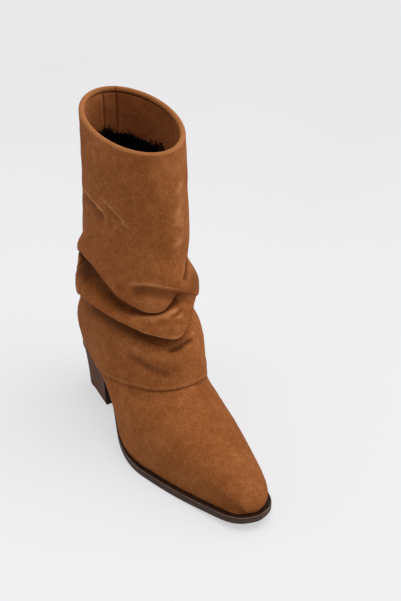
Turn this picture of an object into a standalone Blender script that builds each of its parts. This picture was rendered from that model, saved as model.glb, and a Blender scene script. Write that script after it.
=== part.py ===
"""Heeled suede slouch boot, right foot.

Frame: +X towards the toe, +Y towards the inner (medial) side, +Z up, metres.
The tables are in millimetres, x measured from the back of the heel seat.
Every piece comes from the same last surface: sections are fanned from the toe
over the instep and up the leg, and the shell pieces are cut from that surface.
"""
import bpy
import bmesh
import numpy as np
from math import pi

# ---------------------------------------------------------------- driving sizes, mm
MM = 0.001
TOE_X = 271.0            # front of the outsole
HEEL_X = 0.0             # back of the outsole
ORIGIN_X = 131.514       # middle of the boot's box, seen from above
ORIGIN_Y = -2.419
GAP = 0.3                # clearance between pieces that touch
EDGE_GAP = 0.42          # the lasted edge over the curved sole
TOE_LIFT = 1.1           # the lasted edge turns up a little round the toe
FLAT_FROM, FLAT_TO = 164.8, 186.0   # flat tread under the ball
VAMP_WALL = 1.9
SHAFT_WALL = 2.2
LAP_WALL = 1.6           # shaft edge, skived where it laps the vamp
LAP_PROUD = 1.1          # how far the lapped edge stands out
LAP_LENGTH = 8.0
LAP_GAP = 0.4
COLLAR_ROLL = 5.0        # thickness of the rolled collar
COLLAR_ROLL_DEPTH = 6.0
INSOLE_THICKNESS = 2.5
INSOLE_INSET = 4.6       # from the feather line
HEEL_BREAST_X = 64.0     # front face of the heel, at the top
HEEL_INSET = 1.0
HEEL_FOOT_X = (4.6, 55.2)   # back and front of the heel's foot
HEEL_FOOT_WIDTH = 0.85      # its width against the top
HEEL_FOOT_SHIFT = 0.4
HALF_COLUMNS = 20        # mesh columns in half a section
EDGE_Q = 0.75            # place of the feather line in a half section
ACROSS = 5               # points across the sole
SOLE_STATIONS = 46
HEEL_STATIONS = 9
LEG_ROWS = (6, 3, 3, 4, 4, 6, 1, 1)   # mesh rows between the fold lines, heel seat to collar

# ---------------------------------------------------------------- tables, mm
OUTLINE_COLUMNS = ("x", "lateral_y", "medial_y")
OUTLINE = (
    (271.0, 1.5, 1.5),
    (269.6, -5.0, 7.6),
    (266.6, -10.8, 13.8),
    (258.6, -17.6, 21.6),
    (240.0, -24.2, 28.4),
    (220.0, -31.0, 33.2),
    (196.0, -38.8, 38.0),
    (171.0, -45.6, 40.5),
    (150.0, -49.8, 38.5),
    (130.0, -49.0, 34.0),
    (110.0, -42.8, 29.5),
    (90.0, -36.6, 27.0),
    (70.0, -33.0, 26.5),
    (50.0, -32.2, 27.8),
    (30.0, -31.8, 29.0),
    (15.0, -28.8, 27.0),
    (5.0, -20.6, 20.0),
    (0.0, 0.0, 0.0),
)

# side profile of the sole: heel pitch, arch, tread, toe spring
PROFILE_COLUMNS = ("x", "bottom_z", "thickness", "ledge")
PROFILE = (
    (0.0, 50.5, 4.0, 0.2),
    (20.0, 48.2, 4.0, 0.2),
    (45.0, 44.8, 4.0, 0.2),
    (62.0, 41.6, 4.0, 0.2),
    (80.0, 35.8, 4.0, 0.0),
    (100.0, 25.8, 4.1, 0.2),
    (120.0, 14.6, 4.6, 1.0),
    (140.0, 5.4, 5.6, 2.4),
    (158.0, 0.6, 6.4, 3.8),
    (172.0, -0.4, 6.7, 4.3),
    (186.0, 0.0, 6.7, 4.5),
    (205.0, 0.5, 6.7, 4.5),
    (228.0, 1.8, 6.6, 4.5),
    (250.0, 4.2, 6.4, 4.5),
    (271.0, 8.2, 6.1, 4.3),
)

# sections of the upper, toe to collar: ridge = top or front line, side = widest
# points, end = place on the feather line (end_x) or on the back line (end_x, end_z)
SECTION_COLUMNS = ("name", "kind", "ridge_x", "ridge_z", "ridge_y", "side_x", "side_z",
                   "lateral_y", "medial_y", "end_x", "end_z", "twist", "front_n", "back_n")
SECTIONS = (
    ("toe_edge", "toe", 0, 0, 0, 0, 0, 0, 0, 263.0, 0, 0, 2, 2),
    ("toe_face", "sole", 266.8, 20.5, 2.2, 262.2, 17.5, -9.0, 13.4, 259.0, 0, 0, 2.4, 2),
    ("toe_top", "sole", 261.8, 27.0, 2.2, 256.0, 20.5, -13.4, 18.4, 252.5, 0, 0, 2.4, 2),
    ("toe_box", "sole", 248.0, 34.0, 2.0, 242.5, 22.5, -18.9, 24.0, 238.0, 0, 0, 2.25, 2),
    ("vamp_front", "sole", 229.0, 43.0, 1.2, 219.0, 22.5, -27.2, 30.0, 212.0, 0, 0, 2.1, 2),
    ("vamp", "sole", 209.0, 53.0, 0.4, 190.0, 23.5, -36.4, 35.2, 180.0, 0, 0, 2.05, 2),
    ("ball", "sole", 193.0, 62.0, 0.0, 160.0, 29.0, -45.8, 37.8, 145.0, 0, 0, 2.0, 2),
    ("waist", "sole", 180.0, 70.0, 0.2, 131.0, 39.0, -47.8, 37.4, 107.0, 0, 0, 2.0, 2),
    ("seam", "sole", 168.0, 79.0, 0.8, 107.0, 52.0, -44.4, 37.4, 70.0, 0, 0, 2.0, 2),
    ("breast", "sole", 165.0, 93.0, 0.8, 94.0, 68.0, -43.0, 39.6, 42.0, 0, 0, 2.1, 2),
    ("heel_seat", "heel", 160.0, 107.0, 0.6, 84.0, 84.0, -42.4, 39.6, 16.0, 0, 0, 2.15, 2),
    ("counter", "closed", 153.0, 121.0, 0.0, 77.0, 99.0, -42.0, 39.5, -8.0, 77.0, 0, 2.15, 2.4),
    ("ankle", "closed", 144.0, 141.0, -1.0, 72.0, 124.0, -40.5, 38.0, -5.0, 106.0, -1.0, 2.1, 2.3),
    ("leg_low", "closed", 141.0, 169.0, -1.5, 73.0, 157.0, -39.0, 37.5, 2.5, 143.0, -2.0, 2.1, 2.1),
    ("leg_mid", "closed", 142.0, 203.0, -2.0, 76.0, 198.0, -39.0, 38.5, 9.0, 192.0, -3.5, 2.1, 2.0),
    ("leg_high", "closed", 142.5, 237.0, -2.0, 79.0, 240.5, -39.5, 37.5, 15.0, 244.0, -5.0, 2.05, 2.0),
    ("collar", "closed", 143.0, 271.0, -2.0, 81.0, 281.2, -40.6, 36.9, 18.2, 291.6, -6.9, 2.0, 2.0),
)
NAMES = [row[0] for row in SECTIONS]

# folds of the slouched shaft, a value at each eighth of the way round the leg
ROUND = ("back", "back_lateral", "lateral", "front_lateral",
         "front", "front_medial", "medial", "back_medial")
FOLD_COLUMNS = ("name", "lip_z", "bulge", "rise")
FOLDS = (
    ("belly", (144, 147, 159, 142, 143, 136, 139, 143),
     (5, 3.5, 6, 6, 4, 10, 8, 6), (18, 13, 16, 28, 30, 30, 26, 22)),
    ("roll", (111, 110, 120, 122, 117, 119, 112, 111),
     (5, 4, 6, 7, 6, 2.5, 6, 6), (24, 22, 20, 14, 18, 14, 16, 20)),
    ("cuff", (90, 90, 92, 97, 102, 97, 95, 92),
     (0, 0, 0, 0, 3, 2, 2, 0), (14, 14, 14, 14, 14, 14, 14, 14)),
)
FOLD_CREST = 0.3         # height of a fold's crest above its lip, of its rise
FOLD_DROP = 9.0          # how fast it falls away below the lip
FOLD_TROUGH = 0.2        # depth of the trough below it, of its bulge
FOLD_START = 25.0        # the folds begin this far above the seam

MATERIALS = {            # colour, roughness
    "suede": ((0.216, 0.082, 0.028), 0.95),
    "suede_vamp": ((0.230, 0.088, 0.030), 0.95),
    "sole_leather": ((0.045, 0.028, 0.020), 0.55),
    "stacked_heel": ((0.050, 0.032, 0.024), 0.5),
    "footbed": ((0.030, 0.022, 0.018), 0.9),
}


# ---------------------------------------------------------------- curves
def spline(xs, ys):
    """Natural cubic through one column of a table."""
    xs, ys = np.asarray(xs, float), np.asarray(ys, float)
    n, h = len(xs), np.diff(xs)
    a, r = np.zeros((n, n)), np.zeros((n,) + ys.shape[1:])
    a[0, 0] = a[-1, -1] = 1.0
    for i in range(1, n - 1):
        a[i, i - 1:i + 2] = h[i - 1], 2 * (h[i - 1] + h[i]), h[i]
        r[i] = 6 * ((ys[i + 1] - ys[i]) / h[i] - (ys[i] - ys[i - 1]) / h[i - 1])
    m = np.linalg.solve(a, r.reshape(n, -1)).reshape(r.shape)

    def at(x):
        x = np.atleast_1d(np.asarray(x, float))
        i = np.clip(np.searchsorted(xs, x) - 1, 0, n - 2)
        wide = (slice(None),) + (None,) * (ys.ndim - 1)
        d, e, k = (x - xs[i])[wide], (xs[i + 1] - x)[wide], h[i][wide]
        return ((m[i] * e ** 3 + m[i + 1] * d ** 3) / (6 * k)
                + (ys[i] / k - m[i] * k / 6) * e + (ys[i + 1] / k - m[i + 1] * k / 6) * d)
    return at


def smooth(x):
    x = np.clip(x, 0.0, 1.0)
    return x * x * (3 - 2 * x)


def turn_of(x):
    """Place along the outline: 0 at the toe, 1 at the back of the heel."""
    return np.arccos(np.clip(2 * (np.asarray(x, float) - HEEL_X) / (TOE_X - HEEL_X) - 1, -1, 1)) / pi


def x_of(turn):
    return HEEL_X + (TOE_X - HEEL_X) * (1 + np.cos(pi * np.asarray(turn, float))) / 2


outline_table = np.array(OUTLINE)
profile_table = np.array(PROFILE)
EDGE = {side: spline(turn_of(outline_table[:, 0]), outline_table[:, column])
        for side, column in ((-1, 1), (1, 2))}
bottom_curve = spline(profile_table[:, 0], profile_table[:, 1])


def bottom(x):
    """Underside of the sole, flat under the ball."""
    x = np.asarray(x, float)
    z = np.maximum(bottom_curve(x), 0.0)
    return np.where((x >= FLAT_FROM - 0.01) & (x <= FLAT_TO + 0.01), 0.0, z)


def sole_top(x):
    return bottom(x) + np.interp(x, profile_table[:, 0], profile_table[:, 2])


def ledge(x):
    """How far the sole stands out beyond the upper."""
    return np.interp(x, profile_table[:, 0], profile_table[:, 3])


def outline(turn, side, inset=0.0):
    """Points of the sole's edge in plan; side -1 lateral, +1 medial."""
    turn = np.atleast_1d(turn).astype(float)
    x, y = x_of(turn), EDGE[side](turn)
    a, b = np.clip(turn - 1e-3, 0, 1), np.clip(turn + 1e-3, 0, 1)
    dx, dy = x_of(b) - x_of(a), EDGE[side](b) - EDGE[side](a)
    k = np.hypot(dx, dy)
    inward = inset(x) if callable(inset) else inset
    return np.c_[x - side * dy / k * inward, y + side * dx / k * inward]


# ---------------------------------------------------------------- the last surface
def feather(turn, side):
    xy = outline(turn, side, ledge)
    return np.c_[xy, sole_top(xy[:, 0]) + EDGE_GAP + TOE_LIFT * smooth((xy[:, 0] - 235.0) / 18.0)]


def half_section(row, side, q):
    """Half of one section: q 0 at the ridge, .5 at the side, .75 at the edge, 1 at the back."""
    r = dict(zip(SECTION_COLUMNS, row))
    if r["kind"] == "toe":
        return feather(np.clip(q / EDGE_Q, 0, 1) * turn_of(r["end_x"]), side)
    points = np.zeros((len(q), 3))
    wide = r["lateral_y"] if side < 0 else r["medial_y"]
    front = q <= 0.5
    c = np.cos(pi * q[front]).clip(0) ** (2 / r["front_n"])
    s = np.sin(pi * q[front]).clip(0) ** (2 / r["front_n"])
    points[front] = np.c_[r["side_x"] + (r["ridge_x"] - r["side_x"]) * c,
                          r["ridge_y"] + (wide - r["ridge_y"]) * s,
                          r["side_z"] + (r["ridge_z"] - r["side_z"]) * c]
    rear = ~front
    if r["kind"] == "closed":
        c = np.abs(np.cos(pi * q[rear])) ** (2 / r["back_n"])
        s = np.sin(pi * q[rear]).clip(0) ** (2 / r["back_n"])
        points[rear] = np.c_[r["side_x"] + (r["end_x"] - r["side_x"]) * c,
                             r["ridge_y"] + (wide - r["ridge_y"]) * s,
                             r["side_z"] + (r["end_z"] - r["side_z"]) * c]
        middle = np.array([r["side_x"], (r["lateral_y"] + r["medial_y"]) / 2])
        w = np.radians(r["twist"])
        spin = np.array([[np.cos(w), np.sin(w)], [-np.sin(w), np.cos(w)]])
        points[:, :2] = (points[:, :2] - middle) @ spin + middle
        return points
    turn = turn_of(r["end_x"])
    edge = feather(turn, side)[0]
    u = ((q[rear] - 0.5) / (EDGE_Q - 0.5)).clip(0, 1)
    points[rear] = np.c_[r["side_x"] + (edge[0] - r["side_x"]) * u ** 1.25,
                         wide + (edge[1] - wide) * u ** 2,
                         r["side_z"] + (edge[2] - r["side_z"]) * u]
    if r["kind"] == "heel":
        seat = q > EDGE_Q
        points[seat] = feather(turn + (1 - turn) * (q[seat] - EDGE_Q) / (1 - EDGE_Q), side)
    return points


def last_surface(q):
    """Rows run from the toe to the collar, columns from the back round the lateral
    side to the ridge and round the medial side to the back again."""
    rows = np.array([np.concatenate([half_section(row, -1, q)[::-1], half_section(row, 1, q)[1:]])
                     for row in SECTIONS])
    step = np.linalg.norm(np.diff(rows, axis=0), axis=2).mean(axis=1)
    run = np.r_[0, np.cumsum(step)]
    return run, spline(run, rows)


def round_leg(values, angle):
    """Smooth closed curve through the eight values of a fold."""
    v = np.asarray(values, float)
    k = (np.asarray(angle, float) + 180.0) / 45.0
    i = np.floor(k).astype(int)
    f = k - i
    a, b, c, d = (v[(i + n) % len(ROUND)] for n in (-1, 0, 1, 2))
    return b + 0.5 * f * (c - a + f * (2 * a - 5 * b + 4 * c - d + f * (3 * (b - c) + d - a)))


def fold_height(angle, z):
    """How far the slouch folds stand out from the plain leg."""
    out = np.zeros(np.broadcast(angle, z).shape)
    for name, lip, bulge, rise in FOLDS:
        v, high = z - round_leg(lip, angle), round_leg(rise, angle)
        crest = FOLD_CREST * high
        above = 0.5 + 0.5 * np.cos(pi * np.clip((v - crest) / (high - crest), 0, 1))
        below = smooth((v + FOLD_DROP) / (crest + FOLD_DROP))
        trough = FOLD_TROUGH * np.exp(-((v + FOLD_DROP) / 5.0) ** 2)
        out += round_leg(bulge, angle) * (np.where(v > crest, above, below) - trough)
    return out


HALF_Q = np.arange(HALF_COLUMNS + 1) / HALF_COLUMNS
ANGLE = 180.0 * np.r_[-HALF_Q[::-1], HALF_Q[1:]]
RUN, SURFACE = last_surface(HALF_Q)
AT = dict(zip(NAMES, RUN))
EDGE_COLUMN = int(round(HALF_COLUMNS * (1 - EDGE_Q)))


def normals(run):
    """Outward directions of the last surface along rows."""
    grid = SURFACE(run)
    ahead = SURFACE(np.minimum(run + 0.5, RUN[-1])) - SURFACE(np.maximum(run - 0.5, 0.0))
    round_row = np.gradient(grid, axis=1)
    closed = run > AT["heel_seat"]
    round_row[closed, 0] = round_row[closed, -1] = grid[closed, 1] - grid[closed, -2]
    n = np.cross(round_row, ahead)
    return n / np.maximum(np.linalg.norm(n, axis=2, keepdims=True), 1e-9)


def grid_normals(grid):
    """Outward directions of a closed grid of rows."""
    round_row = np.gradient(grid, axis=1)
    round_row[:, 0] = round_row[:, -1] = grid[:, 1] - grid[:, -2]
    n = np.cross(round_row, np.gradient(grid, axis=0))
    return n / np.maximum(np.linalg.norm(n, axis=2, keepdims=True), 1e-9)


EDGE_X = spline([AT[row[0]] for row in SECTIONS if row[1] != "closed"],
                [row[9] for row in SECTIONS if row[1] != "closed"])


def seat_edges(grid, run, out=0.0):
    """Set the two edge columns on the feather line, moved out sideways by out."""
    for i, r in enumerate(run):
        if r > AT["heel_seat"] + 1e-6:
            break
        turn = turn_of(EDGE_X(r))
        for side, column in ((-1, EDGE_COLUMN), (1, -1 - EDGE_COLUMN)):
            grid[i, column] = feather(turn, side)[0] + (0.0, side * np.broadcast_to(out, len(run))[i], 0.0)
    return grid


# ---------------------------------------------------------------- pieces
def clear_scene():
    for obj in list(bpy.data.objects):
        bpy.data.objects.remove(obj, do_unlink=True)


def material(name):
    colour, rough = MATERIALS[name]
    made = bpy.data.materials.new(name)
    made.use_nodes = True
    shader = made.node_tree.nodes["Principled BSDF"]
    shader.inputs["Base Color"].default_value = (*colour, 1.0)
    shader.inputs["Roughness"].default_value = rough
    shader.inputs["Metallic"].default_value = 0.0
    return made


def place(points):
    return (np.asarray(points) - (ORIGIN_X, ORIGIN_Y, 0.0)) * MM


def add_object(name, bm, collection, parent, finish):
    mesh = bpy.data.meshes.new(name)
    bm.to_mesh(mesh)
    bm.free()
    mesh.shade_smooth()
    mesh.set_sharp_from_angle(angle=np.radians(40))
    obj = bpy.data.objects.new(name, mesh)
    collection.objects.link(obj)
    obj.parent = parent
    mesh.materials.append(material(finish))
    return obj


def solidify(obj, thickness, group=None):
    wall = obj.modifiers.new("wall", "SOLIDIFY")
    wall.thickness = thickness * MM
    wall.offset = -1.0
    wall.use_rim = True
    wall.use_even_offset = False
    wall.use_quality_normals = True
    if group:
        wall.vertex_group = group
    return wall


def sheet(rows):
    """Open surface over rows of equal length; a point shared by two rows is joined."""
    bm = bmesh.new()
    verts = [[bm.verts.new(p) for p in place(row)] for row in rows]
    for a, b in zip(verts, verts[1:]):
        for i in range(len(a) - 1):
            bm.faces.new((a[i], a[i + 1], b[i + 1], b[i]))
    return bm, verts


def slab(lower, upper):
    """Closed solid between two stacks of rows with the same outline.
    A row of one point is a rounded end, a full row is a straight end."""
    bm = bmesh.new()
    low = [[bm.verts.new(p) for p in place(row)] for row in lower]
    top = [[bm.verts.new(p) for p in place(row)] for row in upper]

    def strip(a, b):
        if len(a) == len(b):
            return [(a[i], a[i + 1], b[i + 1], b[i]) for i in range(len(a) - 1)]
        one, many = (a, b) if len(a) == 1 else (b, a)
        return [(one[0], many[i], many[i + 1]) for i in range(len(many) - 1)]

    for stack in (low, top):
        for a, b in zip(stack, stack[1:]):
            for face in strip(a, b):
                bm.faces.new(face)
    for side in (0, -1):
        for i in range(len(low) - 1):
            bm.faces.new((low[i][side], low[i + 1][side], top[i + 1][side], top[i][side]))
    for end in (0, -1):
        for i in range(len(low[end]) - 1):
            bm.faces.new((low[end][i], low[end][i + 1], top[end][i + 1], top[end][i]))
    bmesh.ops.recalc_face_normals(bm, faces=bm.faces)
    return bm


def across(turn, inset, height):
    """A row of points from the lateral to the medial edge at one station."""
    a, b = outline(turn, -1, inset)[0], outline(turn, 1, inset)[0]
    if turn < 1e-6 or turn > 1 - 1e-6:
        xy = ((a + b) / 2)[None]
    else:
        xy = a + (b - a) * np.linspace(0, 1, ACROSS)[:, None]
    return np.c_[xy, height(xy[:, 0])]


def stations():
    """Places along the sole, with the ends of the flat tread among them."""
    even = np.linspace(0, 1, SOLE_STATIONS)
    flat = turn_of(np.array([FLAT_FROM, FLAT_TO]))
    keep = even[np.abs(even[:, None] - flat).min(axis=1) > 0.012]
    return np.sort(np.r_[keep, flat])


def make_outsole(collection, parent):
    turns = stations()
    bm = slab([across(t, 0.0, bottom) for t in turns], [across(t, 0.0, sole_top) for t in turns])
    return add_object("outsole", bm, collection, parent, "sole_leather")


def make_insole(collection, parent):
    def inset(x):
        return ledge(x) + INSOLE_INSET

    def under(x):
        return sole_top(x) + GAP

    def over(x):
        return under(x) + INSOLE_THICKNESS
    turns = stations()
    bm = slab([across(t, inset, under) for t in turns], [across(t, inset, over) for t in turns])
    return add_object("insole", bm, collection, parent, "footbed")


def make_heel(collection, parent):
    """Tapered block: the seat follows the sole, the foot stands flat on the floor."""
    turns = np.linspace(1, float(turn_of(HEEL_BREAST_X)), HEEL_STATIONS)
    seat = [across(t, HEEL_INSET, lambda x: bottom(x) - GAP) for t in turns]
    back, front = HEEL_FOOT_X
    foot = []
    for row in seat:
        x = back + (row[:, 0] - HEEL_X - HEEL_INSET) * (front - back) / (HEEL_BREAST_X - HEEL_X - HEEL_INSET)
        foot.append(np.c_[x, row[:, 1] * HEEL_FOOT_WIDTH + HEEL_FOOT_SHIFT, np.zeros(len(row))])
    return add_object("heel", slab(foot, seat), collection, parent, "stacked_heel")


def make_vamp(collection, parent):
    """Front of the upper, toe to seam, running on under the shaft's lapped edge."""
    lap = AT["seam"] + LAP_LENGTH * np.array([0.5, 1.0])
    run = np.r_[np.linspace(0, AT["toe_box"], 7), np.linspace(AT["toe_box"], AT["seam"], 10)[1:], lap]
    grid = seat_edges(SURFACE(run), run)
    dip = (LAP_WALL + LAP_GAP - LAP_PROUD) * smooth((run - AT["seam"] + 9.0) / 9.0)
    grid = seat_edges(grid - normals(run) * dip[:, None, None], run, -1.5 * dip)
    bm, verts = sheet(grid[:, EDGE_COLUMN:-EDGE_COLUMN])
    obj = add_object("upper_vamp", bm, collection, parent, "suede_vamp")
    solidify(obj, VAMP_WALL)
    return obj


def leg_rows():
    """Points of the leg above the heel seat, in rows that follow the folds."""
    fine = np.linspace(AT["heel_seat"], AT["collar"], 400)
    height = SURFACE(fine)[..., 2]
    seat, top = height[0], height[-1]
    belly, roll = (round_leg(row[1], ANGLE) for row in FOLDS[:2])
    plain = belly + round_leg(FOLDS[0][3], ANGLE) + 4.0
    guides = (seat, np.maximum(roll - 6.0, seat + 2.0), roll + 6.0, belly - 7.0, belly + 7.0,
              plain, top - 2.2 * COLLAR_ROLL_DEPTH, top - COLLAR_ROLL_DEPTH, top)
    levels = [seat[None]]
    for low, high, count in zip(guides, guides[1:], LEG_ROWS):
        levels.append(low + (high - low) * (np.arange(1, count + 1) / count)[:, None])
    levels = np.concatenate(levels)
    grid = np.zeros(levels.shape + (3,))
    for j in range(len(ANGLE)):
        rows = np.interp(levels[:, j], height[:, j], fine)
        grid[:, j] = SURFACE(rows)[:, j]
    return grid


def make_shaft(collection, parent):
    """Quarters and leg in one: a fan of rows round the heel, then closed rows up the leg."""
    lap = AT["seam"] + LAP_LENGTH * np.array([0.0, 0.5, 1.0, 1.6])
    fan = np.r_[lap, np.linspace(lap[-1], AT["heel_seat"], 5)[1:]]
    seam_to_seat = fan - AT["seam"]
    proud = LAP_PROUD * (1 - smooth((seam_to_seat - 1.6 * LAP_LENGTH) / 14.0))
    leg = leg_rows()
    grid = np.concatenate([seat_edges(SURFACE(fan), fan), leg[1:]])
    away = np.concatenate([normals(fan), grid_normals(leg)[1:]])
    start = np.r_[smooth(seam_to_seat / FOLD_START), np.ones(len(leg) - 1)]
    out = fold_height(ANGLE[None, :], grid[..., 2]) * start[:, None]
    out[:len(fan)] += proud[:, None]
    out[len(fan) - 1, np.abs(ANGLE) / 180.0 > EDGE_Q - 1e-6] = 0.0
    grid = grid + away * out[..., None]
    edge_out = proud * (seam_to_seat < seam_to_seat[-1] - 1.0)
    grid[:len(fan)] = seat_edges(grid[:len(fan)], fan, edge_out)

    wall = np.full(len(grid), SHAFT_WALL)
    wall[:len(lap)] = LAP_WALL
    wall[-2:] = COLLAR_ROLL

    bm = bmesh.new()
    layer = bm.verts.layers.deform.verify()
    rows = []
    for i, row in enumerate(place(grid)):
        ring = {}
        for j, p in enumerate(row):
            outside = j < EDGE_COLUMN or j > len(row) - 1 - EDGE_COLUMN
            if i < len(fan) - 1 and outside:
                continue
            if j == len(row) - 1:
                ring[j] = ring[0]
                continue
            ring[j] = bm.verts.new(p)
            ring[j][layer][0] = wall[i] / COLLAR_ROLL
        rows.append(ring)
    for a, b in zip(rows, rows[1:]):
        for j in range(len(ANGLE) - 1):
            if all(k in ring for ring in (a, b) for k in (j, j + 1)):
                bm.faces.new((a[j], a[j + 1], b[j + 1], b[j]))
    obj = add_object("upper_shaft", bm, collection, parent, "suede")
    obj.vertex_groups.new(name="wall")
    solidify(obj, COLLAR_ROLL, "wall")
    return obj


def main():
    clear_scene()
    collection = bpy.data.collections.new("slouch_boot")
    bpy.context.scene.collection.children.link(collection)
    boot = bpy.data.objects.new("boot_frame", None)
    collection.objects.link(boot)
    for make in (make_outsole, make_heel, make_insole, make_vamp, make_shaft):
        make(collection, boot)


main()
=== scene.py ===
"""Looks of the suede slouch boot, right foot.

The tables are in millimetres, x measured from the back of the heel seat, as in
the boot's own construction.  Every fine piece is cut from the same last surface.
"""
from math import pi

import bmesh
import bpy
import numpy as np
from mathutils import Matrix


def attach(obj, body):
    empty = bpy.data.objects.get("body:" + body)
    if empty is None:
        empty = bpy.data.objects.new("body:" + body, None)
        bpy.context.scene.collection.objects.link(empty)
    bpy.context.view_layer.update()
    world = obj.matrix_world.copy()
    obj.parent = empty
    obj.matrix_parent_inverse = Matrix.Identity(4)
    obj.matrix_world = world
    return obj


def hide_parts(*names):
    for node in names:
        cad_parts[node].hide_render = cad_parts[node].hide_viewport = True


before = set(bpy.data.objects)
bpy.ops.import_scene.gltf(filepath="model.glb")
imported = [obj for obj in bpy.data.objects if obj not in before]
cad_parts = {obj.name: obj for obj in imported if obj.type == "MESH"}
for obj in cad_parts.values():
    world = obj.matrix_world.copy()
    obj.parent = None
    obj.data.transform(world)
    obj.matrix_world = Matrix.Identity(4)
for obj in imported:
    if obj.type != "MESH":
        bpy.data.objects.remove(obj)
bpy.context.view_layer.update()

# ---------------------------------------------------------------- sizes, mm
MM = 0.001
TOE_X, HEEL_X = 271.0, 0.0
ORIGIN = np.array([131.514, -2.419, 0.0])
GAP = 0.3
EDGE_GAP = 0.42
TOE_LIFT = 0.3
FLAT_FROM, FLAT_TO = 164.8, 186.0
VAMP_WALL = 1.9
SHAFT_WALL = 2.2
LAP_WALL, LAP_PROUD, LAP_LENGTH, LAP_GAP = 1.1, 0.7, 8.0, 0.25
INSOLE_THICKNESS, INSOLE_INSET = 2.5, 4.6
HEEL_BREAST_X, HEEL_INSET = 64.0, 1.0
HEEL_FOOT_X, HEEL_FOOT_SHIFT = (3.4, 55.2), 0.4
HEEL_FOOT_WIDTH = ((0.0, 0.90), (8.0, 0.885), (20.0, 0.79), (35.0, 0.775), (50.0, 0.81), (64.0, 0.838))   # seat x, share of its width
EDGE_Q = 0.75

HALF = 140               # columns in half a section of the shaft
VAMP_HALF = 112
EDGE_BLEND = 14          # columns that ease into the feather line

OUTLINE = (              # x, lateral_y, medial_y
    (271.0, 1.5, 1.5),
    (269.6, -5.0, 7.6),
    (266.6, -10.8, 13.8),
    (258.6, -17.6, 21.6),
    (240.0, -24.2, 28.4),
    (220.0, -31.0, 33.2),
    (196.0, -38.8, 38.0),
    (171.0, -45.6, 40.5),
    (150.0, -49.8, 38.5),
    (130.0, -49.0, 34.0),
    (110.0, -42.8, 29.5),
    (90.0, -36.6, 27.0),
    (70.0, -33.0, 26.5),
    (50.0, -32.2, 27.8),
    (30.0, -31.8, 29.0),
    (15.0, -28.8, 27.0),
    (5.0, -20.6, 20.0),
    (0.0, 0.0, 0.0),
)
PROFILE = (              # x, bottom_z, thickness, ledge
    (0.0, 50.5, 4.0, 0.2),
    (20.0, 48.2, 4.0, 0.2),
    (45.0, 44.8, 4.0, 0.2),
    (62.0, 41.6, 4.0, 0.2),
    (80.0, 35.8, 4.0, 0.0),
    (100.0, 25.8, 4.1, 0.2),
    (120.0, 14.6, 4.6, 1.0),
    (140.0, 5.4, 5.6, 2.4),
    (158.0, 0.6, 6.4, 3.8),
    (172.0, -0.4, 6.7, 4.3),
    (186.0, 0.0, 6.7, 4.5),
    (205.0, 0.5, 6.7, 4.5),
    (228.0, 1.8, 6.6, 4.5),
    (250.0, 4.2, 6.4, 4.5),
    (271.0, 8.2, 6.1, 4.3),
)
SECTION_COLUMNS = ("name", "kind", "ridge_x", "ridge_z", "ridge_y", "side_x", "side_z",
                   "lateral_y", "medial_y", "end_x", "end_z", "twist", "front_n", "back_n")
SECTIONS = (
    ("toe_edge", "toe", 0, 0, 0, 0, 0, 0, 0, 263.0, 0, 0, 2, 2),
    ("toe_face", "sole", 266.8, 20.5, 2.2, 262.2, 17.5, -9.0, 13.4, 259.0, 0, 0, 2.4, 2),
    ("toe_top", "sole", 261.8, 27.0, 2.2, 256.0, 20.5, -13.4, 18.4, 252.5, 0, 0, 2.4, 2),
    ("toe_box", "sole", 248.0, 34.0, 2.0, 242.5, 22.5, -18.9, 24.0, 238.0, 0, 0, 2.25, 2),
    ("vamp_front", "sole", 229.0, 43.0, 1.2, 219.0, 22.5, -27.2, 30.0, 212.0, 0, 0, 2.1, 2),
    ("vamp", "sole", 209.0, 53.0, 0.4, 190.0, 23.5, -36.4, 35.2, 180.0, 0, 0, 2.05, 2),
    ("ball", "sole", 193.0, 62.0, 0.0, 160.0, 29.0, -45.8, 37.8, 145.0, 0, 0, 2.0, 2),
    ("waist", "sole", 180.0, 70.0, 0.2, 131.0, 39.0, -47.8, 37.4, 107.0, 0, 0, 2.0, 2),
    ("seam", "sole", 168.0, 79.0, 0.8, 107.0, 52.0, -44.4, 37.4, 70.0, 0, 0, 2.0, 2),
    ("breast", "sole", 165.0, 93.0, 0.8, 94.0, 68.0, -43.0, 39.6, 42.0, 0, 0, 2.1, 2),
    ("heel_seat", "heel", 160.0, 107.0, 0.6, 84.0, 84.0, -42.4, 39.6, 16.0, 0, 0, 2.15, 2),
    ("counter", "closed", 153.0, 121.0, 0.0, 77.0, 99.0, -42.0, 39.5, -8.0, 77.0, 0, 2.15, 2.4),
    ("ankle", "closed", 144.0, 141.0, -1.0, 72.0, 124.0, -40.5, 38.0, -5.0, 106.0, -1.0, 2.1, 2.3),
    ("leg_low", "closed", 141.0, 169.0, -1.5, 73.0, 157.0, -39.0, 37.5, 2.5, 143.0, -2.0, 2.1, 2.1),
    ("leg_mid", "closed", 142.0, 203.0, -2.0, 76.0, 198.0, -39.0, 38.5, 9.0, 192.0, -3.5, 2.1, 2.0),
    ("leg_high", "closed", 142.5, 237.0, -2.0, 79.0, 240.5, -39.5, 37.5, 15.0, 244.0, -5.0, 2.05, 2.0),
    ("collar", "closed", 143.0, 271.0, -2.0, 81.0, 281.2, -40.6, 36.9, 18.2, 291.6, -6.9, 2.0, 2.0),
)
NAMES = [row[0] for row in SECTIONS]

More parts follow.
